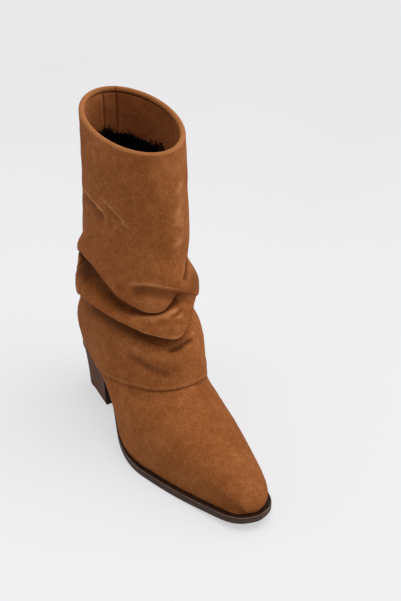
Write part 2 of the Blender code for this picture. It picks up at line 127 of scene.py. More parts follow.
# Lines of the slouch folds round the leg, bottom to top.  Each point is
# (angle round the leg, height z, how far the suede stands out there);
# angle 0 is the front, -90 the lateral side, 90 the medial side, 180 the back.
EDGE2 = (                # hanging edge of the lower roll
    (-180, 110, 2.5), (-155, 108, 2), (-129, 107.5, -2), (-115, 112, 1.6), (-104, 117.5, 3.2),
    (-92, 122.6, 4.8), (-84, 124.2, 5.4), (-65, 125.4, 5.9), (-47, 124.5, 6.2), (-32, 121.1, 6.2),
    (-19, 118.2, 6), (-8, 116.4, 5.6), (-3, 116.9, 4.9), (2, 120.6, 4.7), (9, 125, 4.4), (16, 130.2, 3.4),
    (21, 131.4, 2.8), (28, 129, 1.2), (38, 126.2, -0.9), (51, 124.6, -2), (75, 112.5, 1.6), (100, 109, 3),
    (130, 110, 3.5), (155, 111, 3),
)
CREST2 = (               # top of the lower roll
    (-180, 121, 5), (-155, 121.5, 4.2), (-129, 122.5, 3.4), (-115, 125, 4), (-104, 127.2, 5.2), (-90, 128.8, 6),
    (-67, 128.2, 6.6), (-45, 127.8, 6.9), (-25, 127.2, 7), (-8, 127.2, 6.8), (3, 131, 6), (12, 135, 4.8),
    (20, 135.6, 3.8), (28, 132.8, 3), (38, 129.2, 0.8), (51, 126.6, -0.6), (75, 121, 4.6), (100, 119, 5),
    (130, 120, 5), (155, 121, 5),
)
LOW1 = (                 # where the roll turns into the trough above it
    (-180, 131, 1.5), (-155, 132, 1.5), (-141, 132, 3.2), (-129, 131.2, 1), (-116, 133.2, 0.4),
    (-107, 134.4, 0.6), (-98, 134.6, 0.8), (-86, 133, 1.2), (-74, 131.2, 1.4), (-61, 130.6, 1.8), (-48, 131, 3),
    (-36, 132.4, 4.2), (-26, 133.8, 5), (-15, 135.2, 5), (-6, 137.8, 4.2), (3, 140.4, 2.6), (10, 141.8, 2),
    (20, 139.2, 2), (30, 135.4, 3.2), (40, 132, 3), (51, 128.6, 2.2), (75, 127.5, 4.4), (100, 128.5, 2.6),
    (130, 129, 1.2), (155, 130.5, 1.5),
)
TROUGH1 = (              # bottom of the trough
    (-180, 138, -1.5), (-155, 138, -1.5), (-141, 139, 3.6), (-129, 139.4, -5.5), (-116, 141.4, -8),
    (-107, 143, -8.6), (-98, 143, -8.6), (-86, 138.6, -8.4), (-74, 135, -8), (-61, 133.2, -7.6),
    (-48, 133.8, -7), (-36, 135.2, -6), (-26, 136.4, -5), (-15, 137.6, -4.6), (-6, 140.2, -4), (3, 143.4, -3.2),
    (10, 145, -1.2), (20, 142.4, 0.4), (30, 138.4, 2.6), (40, 134.6, 4.4), (51, 130.6, 4.4), (75, 130.5, 3.2),
    (100, 134, 0.6), (130, 136, -2), (155, 137.5, -1.6),
)
POCKET1 = (              # recess behind the upper edge; here z counts from that edge
    (-180, -1, -0.5), (-141, -0.8, 2.6), (-129, 0.8, -3.6), (-118, 1.2, -4.8), (-110, 1.6, -6.2),
    (-95, 2, -6.8), (-76, 2, -6.8), (-60, 1.6, -6.6), (-45, 1.4, -6.2), (-25, 1.4, -6), (-8, 1, -4.6),
    (8, 0.4, -2.2), (25, -0.5, 2), (38, -0.8, 4.8), (51, -0.8, 5.6), (75, -1, 4.4), (90, -1, 3), (135, -1, 0),
)
EDGE1 = (                # hanging edge of the upper tube, and the bottom of the belly
    (-180, 144.5, 2.4), (-155, 145.5, 2.6), (-129, 150, 2.2), (-118, 157.5, 3.8), (-110, 161.2, 4.2),
    (-102, 162.9, 4), (-95, 162.6, 3.8), (-84, 160.8, 3.6), (-76, 157.8, 3.5), (-69, 154, 3), (-62, 149.8, 3),
    (-56, 146.2, 3.2), (-50, 144, 3.4), (-43, 141.9, 3.6), (-35, 139.2, 3.8), (-26, 137.3, 4), (-19, 137, 4),
    (-12, 138.4, 3.8), (-6, 140.8, 3.4), (1, 144, 3), (8, 147.4, 3), (16, 146.8, 3.4), (24, 144, 4.4),
    (35, 138.5, 6), (51, 132.2, 6.9), (75, 134, 6), (100, 139, 4.5), (130, 142.5, 3.4), (155, 144, 2.6),
)
FACE1 = (
    (-180, 149, 4.4), (-155, 150, 4.6), (-129, 154, 2.8), (-118, 161.5, 4), (-110, 165.2, 4.9),
    (-95, 167.6, 4.5), (-84, 166.4, 4.2), (-69, 160.3, 4.2), (-56, 151.6, 4.8), (-43, 147, 5.6),
    (-26, 144.6, 6.2), (-12, 146, 5.8), (1, 150.6, 5), (8, 152.5, 4.8), (16, 152, 5.2), (24, 150, 6.6),
    (35, 146, 8), (51, 140, 8.6), (75, 141, 7.6), (100, 145, 6.2), (130, 147.5, 5), (155, 148.5, 4.4),
)
BELLY = (
    (-180, 157, 4), (-155, 157.5, 4.2), (-129, 158.6, 1.8), (-118, 167, 2.8), (-110, 171, 3.8), (-95, 175, 3.6),
    (-84, 175, 3.4), (-69, 171, 3.2), (-56, 163, 4), (-43, 159, 4.8), (-26, 157.4, 5.2), (-12, 157.2, 5),
    (1, 159, 4.4), (8, 160, 4.2), (16, 160, 4.2), (24, 158.5, 5.6), (35, 155, 7.6), (51, 149, 8),
    (75, 150, 6.6), (100, 155, 6), (130, 157, 4.6), (155, 157, 4),
)
PLAIN = (
    (-180, 172, 0), (-155, 170, -0.6), (-129, 167, -0.6), (-118, 175, -0.6), (-110, 181, -0.4), (-95, 192, 0.4),
    (-84, 195, 0.3), (-69, 196, 0.1), (-56, 195, 0.2), (-43, 193, 0.3), (-26, 190, 0.2), (-12, 187, 0),
    (1, 181, -0.3), (8, 178, -0.5), (16, 175, -0.5), (24, 172, -0.3), (35, 167, 0.4), (51, 164, 0.6),
    (75, 168, 0.6), (100, 176, 0.3), (130, 177, 0.3), (155, 176, 0.3),
)
LEG = (                  # here z counts from the line below it
    (-180, 24.0, 0.0), (-129, 26.0, -0.8), (-100, 22.0, 0.0), (0, 22.0, 0.0), (51, 24.0, 1.0), (100, 22.0, 0.3),
)
BELOW2 = (               # cuff under the lower roll; z counts from the roll's edge
    (-180, -10, 1), (-129, -10, -3.2), (-110, -7, -3.2), (-92, -5.5, -4.6), (-65, -5, -5.4), (-45, -5, -5.4),
    (-20, -5, -4.6), (0, -6, -2.4), (20, -10, 0.6), (35, -9, 0.4), (51, -9, 0.9), (75, -9, 1), (130, -10, 1.2),
)
POCKET2 = (
    (-180, -1, 0), (-129, -1.5, -3.2), (-110, 0.6, -4), (-96, 2, -6), (-75, 2.4, -7), (-45, 2.4, -7),
    (-15, 2.4, -6.2), (0, 1.8, -3.8), (14, 1.2, -1.4), (24, 0, -0.8), (38, -1, -0.8), (51, -1, -1.6),
    (90, -1, 0.4), (140, -1, 0.8),
)
CUFF = (                 # middle of the cuff; only how far it stands out
    (-180, 0, 0.5), (-150, 0, 0.6), (-129, 0, 0.4), (-110, 0, 0), (-90, 0, 0), (-45, 0, 0), (0, 0, 0.4),
    (25, 0, 0.6), (51, 0, 1.6), (80, 0, 1.2), (130, 0, 0.6),
)
HEM = (                  # lower edge of the shaft: angle, mm above the seam row
    (-180, 14.0), (-135, 14.0), (-110, 14.4), (-95, 13.8), (-85, 12.2), (-75, 10.5), (-65, 8.4), (-55, 5.8), (-45, 2.8),
    (-35, -0.3), (-25, -2.5), (-15, -3.1), (-5, -3.3), (5, -2.8), (15, -2.2), (25, -2.0), (35, -1.8), (50, -0.8),
    (70, 1.5), (90, 5.0), (110, 9.0), (135, 12.0), (160, 13.5),
)
FOLD_ROWS = (34, 14, 12, 10, 8, 12, 10, 8, 10, 8, 8, 12, 18, 10, 26, 6)

# Single creases: way across, how much the suede above stands proud, how deep it
# dips below, how wide each side is, then the line as (angle, z) points.
CREASE_COLUMNS = ("name", "proud", "dip", "wide_up", "wide_down", "line")
CREASES = (
    ("belly_tuck", 0.15, 2.4, 3.0, 11.0,
     ((-50, 153.8), (-42, 157.0), (-36, 159.2), (-27, 160.2), (-19, 159.9), (-9, 157.8), (0, 154.8), (6, 151.9), (14, 149.1), (22, 146.4), (30, 143.4))),
    ("cuff_tuck", 0.0, 1.9, 3.4, 3.4, ((20, 111.0), (13, 111.4), (6, 111.9), (0, 110.8), (-9, 108.7), (-18, 107.2), (-26, 105.2))),
    ("cuff_ridge", 0.9, 0.0, 12.0, 12.0, ((-94, 108.0), (-80, 107.5), (-62, 106.0), (-46, 104.5), (-30, 101.0), (-16, 97.0))),
    ("roll_nick", 0.0, 1.4, 2.6, 2.6, ((11, 137.8), (6, 136.4), (0, 134.8), (-5, 133.6), (-10, 132.4))),
    ("roll_dent", 0.0, 1.1, 5.0, 5.0, ((-24, 128.8), (-14, 129.6), (-6, 130.0), (4, 129.2))),
    ("medial_valley", 0.0, 2.2, 3.4, 3.4,
     ((54, 169.0), (42, 167.8), (32, 166.2), (23, 163.4), (18, 160.4), (12, 155.5))),
    ("cuff_dent", 0.0, 2.2, 8.0, 8.0, ((-74, 97.0), (-55, 96.0), (-44, 94.0), (-35, 90.6), (-24, 87.0), (-14, 84.0))),
    ("back_fold", 0.0, 2.6, 3.2, 3.2, ((-132.5, 144.0), (-134, 137.0), (-135.5, 128.0), (-136.5, 119.0))),
    ("high_fold", 0.5, 1.5, 4.0, 12.0, ((-128, 214.5), (-104, 217.2), (-89, 217.6), (-80, 215.0), (-71, 212.6), (-63, 209.0))),
    ("high_dent", 0.8, 0.9, 5.0, 8.0, ((-72, 226.0), (-68, 223.6), (-60, 220.6), (-53, 216.6), (-46, 210.7), (-42, 206.5), (-40, 201.5))),
    ("high_spur", 0.9, 0.0, 6.0, 6.0, ((-50, 213.0), (-54, 207.6), (-58, 199.7), (-64, 191.3), (-67, 185.5), (-70, 180.0))),
    ("belly_ridge", 0.8, 0.0, 5.0, 5.0, ((2, 163.0), (10, 158.2), (17, 153.9), (23, 150.4), (30, 147.2), (36, 145.0))),
    ("leg_ridge", 0.8, 0.0, 8.0, 8.0, ((26, 252.0), (24, 242.0), (21, 231.0), (18, 220.0), (15, 206.0))),
    ("medial_tuck", 0.8, 1.3, 5.0, 6.0, ((62, 118.0), (78, 121.0), (96, 119.0), (112, 115.0))),
    ("medial_dent", 0.2, 1.2, 7.0, 7.0, ((84, 150.0), (104, 146.0), (124, 149.0))),
    ("medial_high", 0.2, 0.9, 9.0, 9.0, ((58, 196.0), (78, 186.0), (96, 182.0))),
    ("back_tuck", 0.8, 1.2, 5.0, 6.0, ((-178, 101.0), (-160, 98.0), (-142, 100.0))),
    ("back_tuck_medial", 0.7, 1.1, 5.0, 6.0, ((178, 152.0), (160, 156.5), (142, 154.0))),
    ("back_dent", 0.0, 1.0, 9.0, 9.0, ((172, 196.0), (158, 206.0), (146, 220.0))),
)


# ---------------------------------------------------------------- curves
def spline(xs, ys):
    xs, ys = np.asarray(xs, float), np.asarray(ys, float)
    n, h = len(xs), np.diff(xs)
    a, r = np.zeros((n, n)), np.zeros((n,) + ys.shape[1:])
    a[0, 0] = a[-1, -1] = 1.0
    for i in range(1, n - 1):
        a[i, i - 1:i + 2] = h[i - 1], 2 * (h[i - 1] + h[i]), h[i]
        r[i] = 6 * ((ys[i + 1] - ys[i]) / h[i] - (ys[i] - ys[i - 1]) / h[i - 1])
    m = np.linalg.solve(a, r.reshape(n, -1)).reshape(r.shape)

    def at(x):
        x = np.atleast_1d(np.asarray(x, float))
        i = np.clip(np.searchsorted(xs, x) - 1, 0, n - 2)
        wide = (slice(None),) + (None,) * (ys.ndim - 1)
        d, e, k = (x - xs[i])[wide], (xs[i + 1] - x)[wide], h[i][wide]
        return ((m[i] * e ** 3 + m[i + 1] * d ** 3) / (6 * k)
                + (ys[i] / k - m[i] * k / 6) * e + (ys[i + 1] / k - m[i + 1] * k / 6) * d)
    return at


def smooth(x):
    x = np.clip(x, 0.0, 1.0)
    return x * x * (3 - 2 * x)


def turn_of(x):
    return np.arccos(np.clip(2 * (np.asarray(x, float) - HEEL_X) / (TOE_X - HEEL_X) - 1, -1, 1)) / pi


def x_of(turn):
    return HEEL_X + (TOE_X - HEEL_X) * (1 + np.cos(pi * np.asarray(turn, float))) / 2


outline_table, profile_table = np.array(OUTLINE), np.array(PROFILE)
EDGE = {side: spline(turn_of(outline_table[:, 0]), outline_table[:, column]) for side, column in ((-1, 1), (1, 2))}
bottom_curve = spline(profile_table[:, 0], profile_table[:, 1])


def bottom(x):
    x = np.asarray(x, float)
    z = np.maximum(bottom_curve(x), 0.0)
    return np.where((x >= FLAT_FROM - 0.01) & (x <= FLAT_TO + 0.01), 0.0, z)


def thickness(x):
    return np.interp(x, profile_table[:, 0], profile_table[:, 2])


def sole_top(x):
    return bottom(x) + thickness(x)


def ledge(x):
    return np.interp(x, profile_table[:, 0], profile_table[:, 3])


def outline(turn, side, inset=0.0):
    turn = np.atleast_1d(turn).astype(float)
    x, y = x_of(turn), EDGE[side](turn)
    a, b = np.clip(turn - 1e-3, 0, 1), np.clip(turn + 1e-3, 0, 1)
    dx, dy = x_of(b) - x_of(a), EDGE[side](b) - EDGE[side](a)
    k = np.hypot(dx, dy)
    inward = inset(x) if callable(inset) else inset
    return np.c_[x - side * dy / k * inward, y + side * dx / k * inward]


def feather(turn, side):
    xy = outline(turn, side, ledge)
    return np.c_[xy, sole_top(xy[:, 0]) + EDGE_GAP + TOE_LIFT * smooth((xy[:, 0] - 235.0) / 18.0)]


def half_section(row, side, q):
    r = dict(zip(SECTION_COLUMNS, row))
    if r["kind"] == "toe":
        return feather(np.clip(q / EDGE_Q, 0, 1) * turn_of(r["end_x"]), side)
    points = np.zeros((len(q), 3))
    wide = r["lateral_y"] if side < 0 else r["medial_y"]
    front = q <= 0.5
    c = np.cos(pi * q[front]).clip(0) ** (2 / r["front_n"])
    s = np.sin(pi * q[front]).clip(0) ** (2 / r["front_n"])
    points[front] = np.c_[r["side_x"] + (r["ridge_x"] - r["side_x"]) * c,
                          r["ridge_y"] + (wide - r["ridge_y"]) * s,
                          r["side_z"] + (r["ridge_z"] - r["side_z"]) * c]
    rear = ~front
    if r["kind"] == "closed":
        c = np.abs(np.cos(pi * q[rear])) ** (2 / r["back_n"])
        s = np.sin(pi * q[rear]).clip(0) ** (2 / r["back_n"])
        points[rear] = np.c_[r["side_x"] + (r["end_x"] - r["side_x"]) * c,
                             r["ridge_y"] + (wide - r["ridge_y"]) * s,
                             r["side_z"] + (r["end_z"] - r["side_z"]) * c]
        middle = np.array([r["side_x"], (r["lateral_y"] + r["medial_y"]) / 2])
        w = np.radians(r["twist"])
        spin = np.array([[np.cos(w), np.sin(w)], [-np.sin(w), np.cos(w)]])
        points[:, :2] = (points[:, :2] - middle) @ spin + middle
        return points
    turn = turn_of(r["end_x"])
    edge = feather(turn, side)[0]
    u = ((q[rear] - 0.5) / (EDGE_Q - 0.5)).clip(0, 1)
    points[rear] = np.c_[r["side_x"] + (edge[0] - r["side_x"]) * u ** 1.25,
                         wide + (edge[1] - wide) * u ** 2,
                         r["side_z"] + (edge[2] - r["side_z"]) * u]
    if r["kind"] == "heel":
        seat = q > EDGE_Q
        points[seat] = feather(turn + (1 - turn) * (q[seat] - EDGE_Q) / (1 - EDGE_Q), side)
    return points


class Last:
    """The last surface at one resolution: rows toe to collar, columns from the back
    round the lateral side to the ridge and round the medial side to the back."""

    def __init__(self, half):
        q = np.arange(half + 1) / half
        rows = np.array([np.concatenate([half_section(row, -1, q)[::-1], half_section(row, 1, q)[1:]])
                         for row in SECTIONS])
        coarse = np.arange(21) / 20
        measure = np.array([np.concatenate([half_section(row, -1, coarse)[::-1], half_section(row, 1, coarse)[1:]])
                            for row in SECTIONS])
        step = np.linalg.norm(np.diff(measure, axis=0), axis=2).mean(axis=1)
        self.run = np.r_[0, np.cumsum(step)]
        self.at = spline(self.run, rows)
        self.place = dict(zip(NAMES, self.run))
        self.angle = 180.0 * np.r_[-q[::-1], q[1:]]
        self.edge = int(round(half * (1 - EDGE_Q)))
        sole_rows = [i for i, row in enumerate(SECTIONS) if row[1] != "closed"]
        self.edge_x = spline(self.run[sole_rows], [SECTIONS[i][9] for i in sole_rows])

    def normals(self, run, grid):
        ahead = self.at(np.minimum(run + 0.5, self.run[-1])) - self.at(np.maximum(run - 0.5, 0.0))
        round_row = np.gradient(grid, axis=1)
        closed = run > self.place["heel_seat"]
        round_row[closed, 0] = round_row[closed, -1] = grid[closed, 1] - grid[closed, -2]
        n = np.cross(round_row, ahead)
        return n / np.maximum(np.linalg.norm(n, axis=2, keepdims=True), 1e-9)

    def seat(self, grid, runs, outs, ease=EDGE_BLEND):
        """Ease the columns by the feather line on to it, lateral and medial."""
        for side, column, step, run, out in ((-1, self.edge, 1, runs[0], outs[0]),
                                             (1, grid.shape[1] - 1 - self.edge, -1, runs[1], outs[1])):
            for i, r in enumerate(run):
                turn = turn_of(self.edge_x(min(r, self.place["heel_seat"])))
                shift = feather(turn, side)[0] + (0.0, side * out[i], 0.0) - grid[i, column]
                for k in range(ease):
                    grid[i, column + step * k] += shift * (1 - smooth(k / ease))
        return grid


def ring(points, column, angle):
    """Smooth closed curve round the leg through the points of a fold line."""
    t = np.array(points, float)
    a = np.r_[t[-3:, 0] - 360.0, t[:, 0], t[:3, 0] + 360.0]
    v = np.r_[t[-3:, column], t[:, column], t[:3, column]]
    h, slope = np.diff(a), np.diff(v) / np.diff(a)
    m = np.zeros(len(a))
    same = slope[:-1] * slope[1:] > 0
    w1, w2 = 2 * h[1:] + h[:-1], h[1:] + 2 * h[:-1]
    m[1:-1][same] = ((w1 + w2) / (w1 / np.where(same, slope[:-1], 1) + w2 / np.where(same, slope[1:], 1)))[same]
    x = np.clip(angle, a[0], a[-1])
    i = np.clip(np.searchsorted(a, x) - 1, 0, len(a) - 2)
    f = (x - a[i]) / h[i]
    y = (v[i] * (1 + 2 * f) * (1 - f) ** 2 + m[i] * h[i] * f * (1 - f) ** 2
         + v[i + 1] * f * f * (3 - 2 * f) + m[i + 1] * h[i] * f * f * (f - 1))
    period = y[:-1]
    for _ in range(3):
        period = 0.25 * np.roll(period, 1) + 0.5 * period + 0.25 * np.roll(period, -1)
    return np.r_[period, period[:1]]


def through(knots, counts):
    """Smooth rows through knots (lines, columns, 2), counts rows between each two."""
    span = np.sqrt(np.maximum(np.linalg.norm(np.diff(knots, axis=0), axis=2), 0.05))[..., None]
    pace = np.diff(knots, axis=0) / span
    tangent = np.zeros_like(knots)
    tangent[1:-1] = (pace[:-1] * span[1:] + pace[1:] * span[:-1]) / (span[:-1] + span[1:])
    tangent[0], tangent[-1] = pace[0], pace[-1]
    rows = [knots[:1]]
    for k, count in enumerate(counts):
        f = (np.arange(1, count + 1) / count)[:, None, None]
        rows.append(knots[k] * (1 + 2 * f) * (1 - f) ** 2 + tangent[k] * span[k] * f * (1 - f) ** 2
                    + knots[k + 1] * f * f * (3 - 2 * f) + tangent[k + 1] * span[k] * f * f * (f - 1))
    return np.concatenate(rows)


def soft_noise(points, size, seed, octaves=3):
    """Smooth repeatable unevenness over points, about -1 to 1."""
    rng = np.random.default_rng(seed)
    out = np.zeros(points.shape[:-1])
    total = 0.0
    for octave in range(octaves):
        for _ in range(7):
            direction = rng.normal(size=3)
            direction /= np.linalg.norm(direction)
            k = 2 * pi / (size / 2 ** octave) * rng.uniform(0.7, 1.3)
            out += np.sin(points @ direction * k + rng.uniform(0, 2 * pi)) * 0.6 ** octave
        total += 7 ** 0.5 * 0.6 ** octave
    return out / total


# ---------------------------------------------------------------- mesh helpers
def place(points):
    return (np.asarray(points, float) - ORIGIN) * MM


def new_object(name, verts, faces, materials, face_material=None, attributes=None, sharp=None):
    mesh = bpy.data.meshes.new(name)
    mesh.from_pydata([tuple(v) for v in verts], [], [tuple(f) for f in faces])
    for m in materials:
        mesh.materials.append(m)
    if face_material is not None:
        mesh.polygons.foreach_set("material_index", np.asarray(face_material, np.int32))
    for key, values in (attributes or {}).items():
        layer = mesh.attributes.new(key, "FLOAT", "POINT")
        layer.data.foreach_set("value", np.asarray(values, np.float32))
    mesh.validate()
    mesh.shade_smooth()
    if sharp:
        mesh.set_sharp_from_angle(angle=np.radians(sharp))
    mesh.update()
    obj = bpy.data.objects.new(name, mesh)
    bpy.context.scene.collection.objects.link(obj)
    return obj


def outward(obj):
    bm = bmesh.new()
    bm.from_mesh(obj.data)
    bmesh.ops.recalc_face_normals(bm, faces=bm.faces)
    bm.to_mesh(obj.data)
    bm.free()


def grid_frame(grid, closed):
    """Normals of a grid of points."""
    round_row = np.gradient(grid, axis=1)
    if closed:
        round_row[:, 0] = round_row[:, -1] = (grid[:, 1] - grid[:, -2]) / 2
    ahead = np.gradient(grid, axis=0)
    n = np.cross(round_row, ahead)
    return n / np.maximum(np.linalg.norm(n, axis=2, keepdims=True), 1e-9)


def spread(values, times, closed):
    """Even out a field on a grid."""
    v = values.copy()
    for _ in range(times):
        side = np.pad(v, ((0, 0), (1, 1)), mode="edge")
        if closed:
            side[:, 0], side[:, -1] = v[:, -2], v[:, 1]
        up = np.pad(v, ((1, 1), (0, 0)), mode="edge")
        v = 0.5 * v + 0.125 * (side[:, :-2] + side[:, 2:] + up[:-2] + up[2:])
    return v


def relax(grid, amount, times, closed, hold=2):
    """Let a grid of points settle a little, the first and last rows held."""
    g = grid.copy()
    for _ in range(times):
        side = np.pad(g, ((0, 0), (1, 1), (0, 0)), mode="edge")
        if closed:
            side[:, 0], side[:, -1] = g[:, -2], g[:, 1]
        middle = (side[:, :-2] + side[:, 2:]) / 2
        up = g.copy()
        up[1:-1] = (g[:-2] + g[2:]) / 2
        new = g + amount * ((middle + up) / 2 - g)
        new[:hold], new[-hold:] = g[:hold], g[-hold:]
        g = new
    return g


def relief_of(grid, n, reach, closed):
    """Ridges positive, hollows negative: distance from the evened surface."""
    even = np.stack([spread(grid[..., k], reach, closed) for k in range(3)], axis=2)
    return ((grid - even) * n).sum(axis=2)


# ---------------------------------------------------------------- the shaft
def shaft_grid():
    last = Last(HALF)
    at, angle = last.place, last.angle
    fine = np.linspace(at["seam"] - 8.0, at["collar"], 540)
    base = last.at(fine)
    away = last.normals(fine, base)
    height = base[..., 2]

    def run_of(z):
        return np.array([np.interp(z[j], height[:, j], fine) for j in range(len(angle))])

    def line(points, over=None):
        z = ring(points, 1, angle)
        return (z if over is None else over + z), ring(points, 2, angle)

    top = height[-1]
    edge2, crest2, low1, trough1, edge1 = (line(t) for t in (EDGE2, CREST2, LOW1, TROUGH1, EDGE1))
    pocket1, face1, belly, plain = line(POCKET1, edge1[0]), line(FACE1), line(BELLY), line(PLAIN)
    leg, below2, pocket2 = line(LEG, plain[0]), line(BELOW2, edge2[0]), line(POCKET2, edge2[0])
    turn = smooth(np.abs(angle) / (180.0 * EDGE_Q))
    first = at["seam"] + (at["heel_seat"] - at["seam"]) * (0.4 + 0.6 * turn)
    hem = at["seam"] + ring(HEM, 1, angle)
    lines = [(hem, np.zeros(len(angle))), (first, np.zeros(len(angle)))]
    low_run = run_of(below2[0])
    lines.append((first + 0.55 * (low_run - first), ring(CUFF, 2, angle)))
    for z, d in (below2, pocket2, edge2, crest2, low1, trough1, pocket1, edge1, face1, belly, plain, leg):
        lines.append((run_of(z), d))
    lines.append((run_of(top - 11.0), np.zeros(len(angle))))
    lines.append((np.full(len(angle), at["collar"]), np.zeros(len(angle))))
    knots = np.stack([np.stack(pair, axis=1) for pair in lines])
    rows = through(knots, FOLD_ROWS)
    run, out = rows[..., 0], rows[..., 1]
    run = np.clip(run, hem[None], at["collar"])
    lap = LAP_PROUD * (1 - smooth((run - hem[None] - 1.3 * LAP_LENGTH) / 12.0))
    fan = FOLD_ROWS[0]
    lap[fan:, :] *= smooth((np.abs(angle[None]) < 180.0 * EDGE_Q).astype(float))
    lap *= smooth((180.0 * EDGE_Q - np.abs(angle)) / 12.0)[None] * 0.999 + 0.001
    out = out + lap
    grid = np.zeros(run.shape + (3,))
    normal = np.zeros_like(grid)
    for j in range(len(angle)):
        for k in range(3):
            grid[:, j, k] = np.interp(run[:, j], fine, base[:, j, k])
            normal[:, j, k] = np.interp(run[:, j], fine, away[:, j, k])
    normal /= np.maximum(np.linalg.norm(normal, axis=2, keepdims=True), 1e-9)
    plain_grid = grid.copy()
    grid = grid + normal * out[..., None]
    sides = (last.edge, len(angle) - 1 - last.edge)
    seat_runs = [run[:fan + 1, c] for c in sides]
    edge_outs = [LAP_PROUD * (1 - smooth((r - hem[c] - 1.3 * LAP_LENGTH) / 12.0)) * (np.arange(fan + 1) < fan) for r, c in zip(seat_runs, sides)]
    grid[:fan + 1] = last.seat(grid[:fan + 1], seat_runs, edge_outs)
    back = np.abs(angle) / 180.0 >= EDGE_Q - 1e-6
    seat_row = last.at(np.array([at["heel_seat"]]))[0]
    grid[fan, back] = seat_row[back]
    return last, run - hem[None], plain_grid, normal, grid


def crease(grid, normal, plain_grid, angle, proud, dip, wide_up, wide_down, line, fan):
    """Depth of one crease over the shaft."""
    a = np.array([p[0] for p in line], float)
    z = np.array([p[1] for p in line], float)
    if a[0] > a[-1]:
        a, z = a[::-1], z[::-1]
    s = np.linspace(0, 1, 60)
    way = spline(np.linspace(0, 1, len(a)), np.c_[a, z])(s)
    columns = np.interp(way[:, 0], angle, np.arange(len(angle)))
    points = []
    for c, zz in zip(columns, way[:, 1]):
        j = min(int(c), len(angle) - 2)
        f = c - j
        path = plain_grid[fan // 2:, j] * (1 - f) + plain_grid[fan // 2:, j + 1] * f
        order = np.argsort(path[:, 2])
        points.append([np.interp(zz, path[order, 2], path[order, k]) for k in range(3)])
    points = np.array(points)
    near = np.full(grid.shape[:2], 1e9)
    which = np.zeros(grid.shape[:2], int)
    for i, p in enumerate(points):
        d = ((plain_grid - p) ** 2).sum(axis=2)
        closer = d < near
        near[closer], which[closer] = d[closer], i
    gap = plain_grid - points[which]
    way_on = np.gradient(points, axis=0)
    way_on /= np.linalg.norm(way_on, axis=1, keepdims=True)
    across_dir = np.cross(normal, way_on[which])
    side = (gap * across_dir).sum(axis=2)
    side = np.where((across_dir[..., 2] > 0), side, -side)
    along = (gap * way_on[which]).sum(axis=2)
    end = (which == 0) | (which == len(points) - 1)
    past = np.where(end, np.abs(along), 0.0)
    taper = smooth(np.minimum(which, len(points) - 1 - which) / 16.0) * (1 - smooth(past / 2.0))
    taper *= 1 - smooth((np.sqrt(near) - 2.4 * max(wide_up, wide_down)) / 6.0)
    up = np.where(side >= 0, np.exp(-(side / wide_up) ** 2), np.exp(-(side / 1.0) ** 2))
    down = np.where(side < 0, np.exp(-((side + 0.35 * wide_down) / (0.75 * wide_down)) ** 2),
                    np.exp(-(0.35 / 0.75) ** 2) * np.exp(-(side / 1.2) ** 2))
    if proud == 0.0:
        down = np.exp(-(side / (0.7 * wide_down)) ** 2)
    if dip == 0.0:
        up = np.exp(-(side / (0.7 * wide_up)) ** 2)
    return taper * (proud * up - dip * down)


